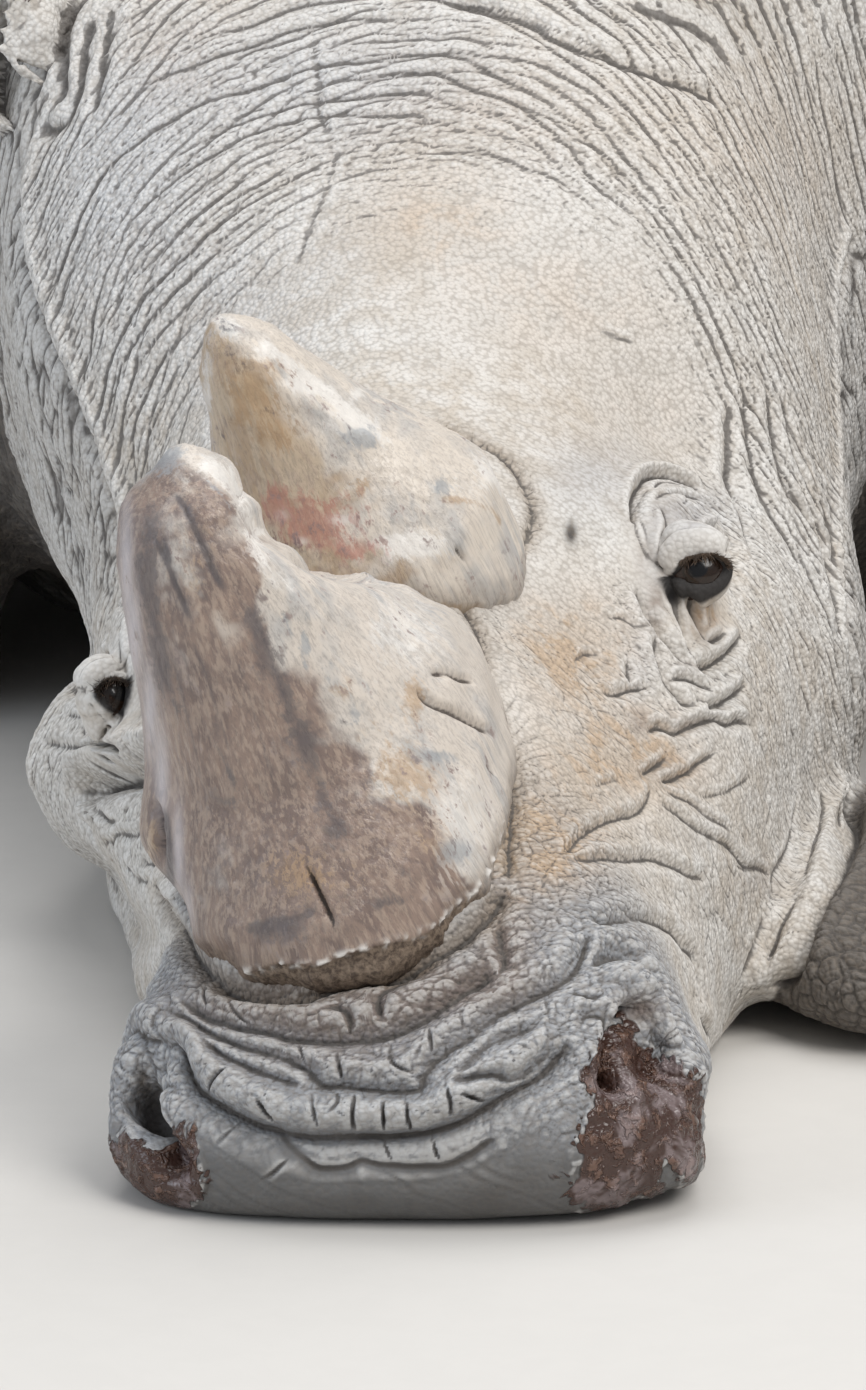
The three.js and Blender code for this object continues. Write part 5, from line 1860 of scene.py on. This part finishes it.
class RhinoHorn(bpy.types.PropertyGroup):
    body: tint("Front horn", "Brown keratin", (0.27, 0.197, 0.16))
    streak: tint("Front streaks", "Dark fibres", (0.105, 0.075, 0.072))
    rear_body: tint("Rear horn", "Waxy keratin", (0.52, 0.42, 0.31))
    rear_streak: tint("Rear streaks", "Fibres of the rear horn", (0.40, 0.29, 0.19))
    light: tint("Light fibres", "Pale fibres", (0.46, 0.36, 0.285))
    cream: tint("Worn slope", "Polished cream slopes", (0.68, 0.62, 0.55))
    wax: tint("Wax", "Nearly white keratin", (0.76, 0.73, 0.69))
    ochre: tint("Ochre", "Yellow-brown stains", (0.40, 0.25, 0.12))
    # A painted highlight: light reflecting along the front horn's left edge.
    lilac_highlight: tint("Lilac", "Polished edge of the front horn", (0.60, 0.565, 0.59))
    red: tint("Red", "Reddish fibres at the rear horn's foot", (0.42, 0.185, 0.135))
    blue: tint("Blue grey", "Blue-grey streaks", (0.26, 0.29, 0.32))
    dark: tint("Dark", "Grey-black patches", (0.09, 0.08, 0.085))
    # Slit is painted shade at the bottom of the horn's cuts and hollows.
    slit: tint("Slit", "The bottom of cuts", (0.035, 0.022, 0.016))
    band: tint("Band", "Soft brown band round the foot", (0.22, 0.165, 0.12))
    # Partly painted shade of the band's shadowed underside.
    band_dark: tint("Band shade", "Darker velvet of the band", (0.06, 0.04, 0.028))


class RhinoEye(bpy.types.PropertyGroup):
    iris: tint("Iris", "Brown of the iris", (0.022, 0.011, 0.006))
    iris_dark: tint("Iris shade", "Darker brown of the iris", (0.008, 0.005, 0.003))
    white: tint("Eye white", "Brownish white of the eye", (0.035, 0.020, 0.015))


class RhinoNail(bpy.types.PropertyGroup):
    horny: tint("Nail", "Grey-brown nail", (0.20, 0.165, 0.13))
    horny_dark: tint("Nail streaks", "Dark streaks", (0.10, 0.08, 0.065))
    worn: tint("Worn nail", "Worn pale edge", (0.36, 0.31, 0.25))


class RhinoCoat(bpy.types.PropertyGroup):
    hair: tint("Hair", "Brown-black hair", (0.050, 0.035, 0.026))
    hair_tip: tint("Pale hair", "Sun-bleached hair", (0.16, 0.11, 0.075))


class RhinoStage(bpy.types.PropertyGroup):
    floor: tint("Floor", "Plain pale floor", (0.62, 0.60, 0.57))
    sky: tint("Surroundings", "Plain pale light from all round", (0.92, 0.95, 1.0))
    sky_power: FloatProperty(name="Surroundings power", description="Strength of that light",
        default=0.42, min=0)
    key_power: FloatProperty(name="Key light", description="Power of the large soft light", default=120,
        unit="POWER", min=0)


SETTINGS = {"rhino_hide": RhinoHide, "rhino_horn": RhinoHorn, "rhino_eye": RhinoEye,
    "rhino_nail": RhinoNail, "rhino_coat": RhinoCoat, "rhino_stage": RhinoStage}
surfaces = {}  # the plain surface of the skin, kept by the hide's operator for the pieces that sit on it


# ------------------------------------------------------------------ operators


class RHINO_OT_stage(bpy.types.Operator):
    """Sets the floor, the soft light and the camera"""

    bl_idname = "rhino.stage"
    bl_label = "Stage"

    def execute(self, context):
        look = context.scene.rhino_stage
        scene = context.scene
        build_floor(look)
        build_lights(scene, look)
        build_camera(scene)
        return {"FINISHED"}


class RHINO_OT_hide(bpy.types.Operator):
    """Builds the one skin that replaces head, neck, trunk, legs, tail and ears"""

    bl_idname = "rhino.hide"
    bl_label = "Hide"

    def execute(self, context):
        look = context.scene.rhino_hide
        skin = shown("skin", skin_mesh(look))
        finished(skin, "hide", hide_material(look), *FLESH, *EARS)
        return {"FINISHED"}


class RHINO_OT_horns(bpy.types.Operator):
    """Builds both horns round their CAD nodes"""

    bl_idname = "rhino.horns"
    bl_label = "Horns"

    def execute(self, context):
        look = context.scene.rhino_horn
        finishes = {
            "horn_front": horn_material(look, "front horn", look.streak, look.body, 0.45),
            "horn_rear": horn_material(look, "rear horn", look.rear_streak, look.rear_body, 0.8),
        }
        for name in HORNS:
            horn = shown(f"keratin_{name}", horn_mesh(name, surfaces["skin"]))
            finished(horn, "horn", finishes[name], name)
        return {"FINISHED"}


class RHINO_OT_eyes(bpy.types.Operator):
    """Builds the eyeballs behind the lids"""

    bl_idname = "rhino.eyes"
    bl_label = "Eyes"

    def execute(self, context):
        finish = eye_material(context.scene.rhino_eye)
        for name, seat in eye_seats().items():
            finished(shown(f"eyeball_{name}", eye_mesh(seat)), "eye", finish, f"eye_{name}")
        return {"FINISHED"}


class RHINO_OT_toenails(bpy.types.Operator):
    """Builds three toenails on each foot"""

    bl_idname = "rhino.toenails"
    bl_label = "Toenails"

    def execute(self, context):
        finish = nail_material(context.scene.rhino_nail)
        for foot in FEET:
            nodes = [f"nail_{foot}_{i}" for i in (1, 2, 3)]
            finished(shown(f"toenails_{foot}", nail_mesh(foot, surfaces["skin"])), "nail", finish, *nodes)
        return {"FINISHED"}


class RHINO_OT_coat(bpy.types.Operator):
    """Builds the ear fringes, the lashes and the tail's bristles"""

    bl_idname = "rhino.coat"
    bl_label = "Coat"

    def execute(self, context):
        finish = hair_material(context.scene.rhino_coat)
        hairs = [ear_fringe(name, side) for side, name in enumerate(EARS)]
        hairs += [lashes(name, seat) for name, seat in eye_seats().items()]
        hairs.append(tail_tuft())
        for mesh in hairs:
            finished(shown(mesh.name, mesh), "hide", finish)
        return {"FINISHED"}


FLOOR_REACH = 250  # far enough that no camera sees its edge


def build_floor(look):
    made, tree, place = material("floor")
    grit = mottled(tree, place, 30.0)
    base = washed(tree, look.floor, grit, 0.06, [0.8 * part for part in look.floor])
    surfaced(tree, base, 0.85, grit, 0.1, 0.3 * MM)
    mesh = bpy.data.meshes.new("floor")
    corners = [(x * FLOOR_REACH, y * FLOOR_REACH, 0) for x, y in ((-1, -1), (1, -1), (1, 1), (-1, 1))]
    mesh.from_pydata(corners, [], [(0, 1, 2, 3)])
    mesh.materials.append(made)
    floor = shown("floor", mesh)
    floor.location.z = -0.5 * MM


def build_lights(scene, look):
    world = bpy.data.worlds.new("surroundings")
    scene.world = world
    world.use_nodes = True
    backdrop = world.node_tree.nodes["Background"]
    plug(world.node_tree, backdrop.inputs["Color"], look.sky)
    plug(world.node_tree, backdrop.inputs["Strength"], look.sky_power)
    scene.view_settings.view_transform = "Standard"
    aim = Vector((0.05, -1.4, 0.25))
    lights = {
        "key": ((1.9, -3.6, 3.2), 2.6, 1.0, (1.0, 0.98, 0.95)),
        "top": ((0.1, -0.6, 4.2), 3.6, 0.72, (1.0, 1.0, 1.0)),
        "fill": ((-4.0, -3.0, 1.6), 3.0, 0.56, (0.80, 0.89, 1.0)),
    }
    for name, (place, size, share, rgb) in lights.items():
        lamp = bpy.data.lights.new(name, "AREA")
        lamp.shape = "DISK"
        lamp.size = size
        lamp.energy = look.key_power * share
        lamp.color = rgb
        holder = bpy.data.objects.new(name, lamp)
        holder.location = place
        holder.rotation_euler = (aim - Vector(place)).to_track_quat("-Z", "Y").to_euler()
        scene.collection.objects.link(holder)


def build_camera(scene):
    lens = bpy.data.cameras.new("camera")
    lens.sensor_fit = "HORIZONTAL"
    lens.lens = FOCAL / PICTURE[0] * lens.sensor_width
    lens.clip_end = 100
    holder = bpy.data.objects.new("camera", lens)
    holder.location = CAMERA
    holder.rotation_euler = (math.pi / 2 - CAMERA_TILT, 0, 0)
    scene.collection.objects.link(holder)
    scene.camera = holder


class RHINO_PT_sidebar(bpy.types.Panel):
    """Lists the pieces in the order they are built"""

    bl_label = "Resting white rhinoceros"
    bl_idname = "RHINO_PT_sidebar"
    bl_space_type = "VIEW_3D"
    bl_region_type = "UI"
    bl_category = "Rhinoceros"

    def draw(self, context):
        for operator in OPERATORS:
            self.layout.operator(operator.bl_idname)
        for name, kind in SETTINGS.items():
            for setting in kind.__annotations__:
                self.layout.prop(getattr(context.scene, name), setting)


OPERATORS = [RHINO_OT_stage, RHINO_OT_hide, RHINO_OT_horns, RHINO_OT_eyes, RHINO_OT_toenails, RHINO_OT_coat]
CLASSES = [*SETTINGS.values(), *OPERATORS, RHINO_PT_sidebar]


def register():
    for made in CLASSES:
        bpy.utils.register_class(made)
    for name, kind in SETTINGS.items():
        setattr(bpy.types.Scene, name, PointerProperty(type=kind))


def unregister():
    for name in SETTINGS:
        delattr(bpy.types.Scene, name)
    for made in reversed(CLASSES):
        bpy.utils.unregister_class(made)


def main():
    register()
    bpy.ops.rhino.stage()
    bpy.ops.rhino.hide()
    bpy.ops.rhino.horns()
    bpy.ops.rhino.eyes()
    bpy.ops.rhino.toenails()
    bpy.ops.rhino.coat()


if __name__ == "__main__":
    main()
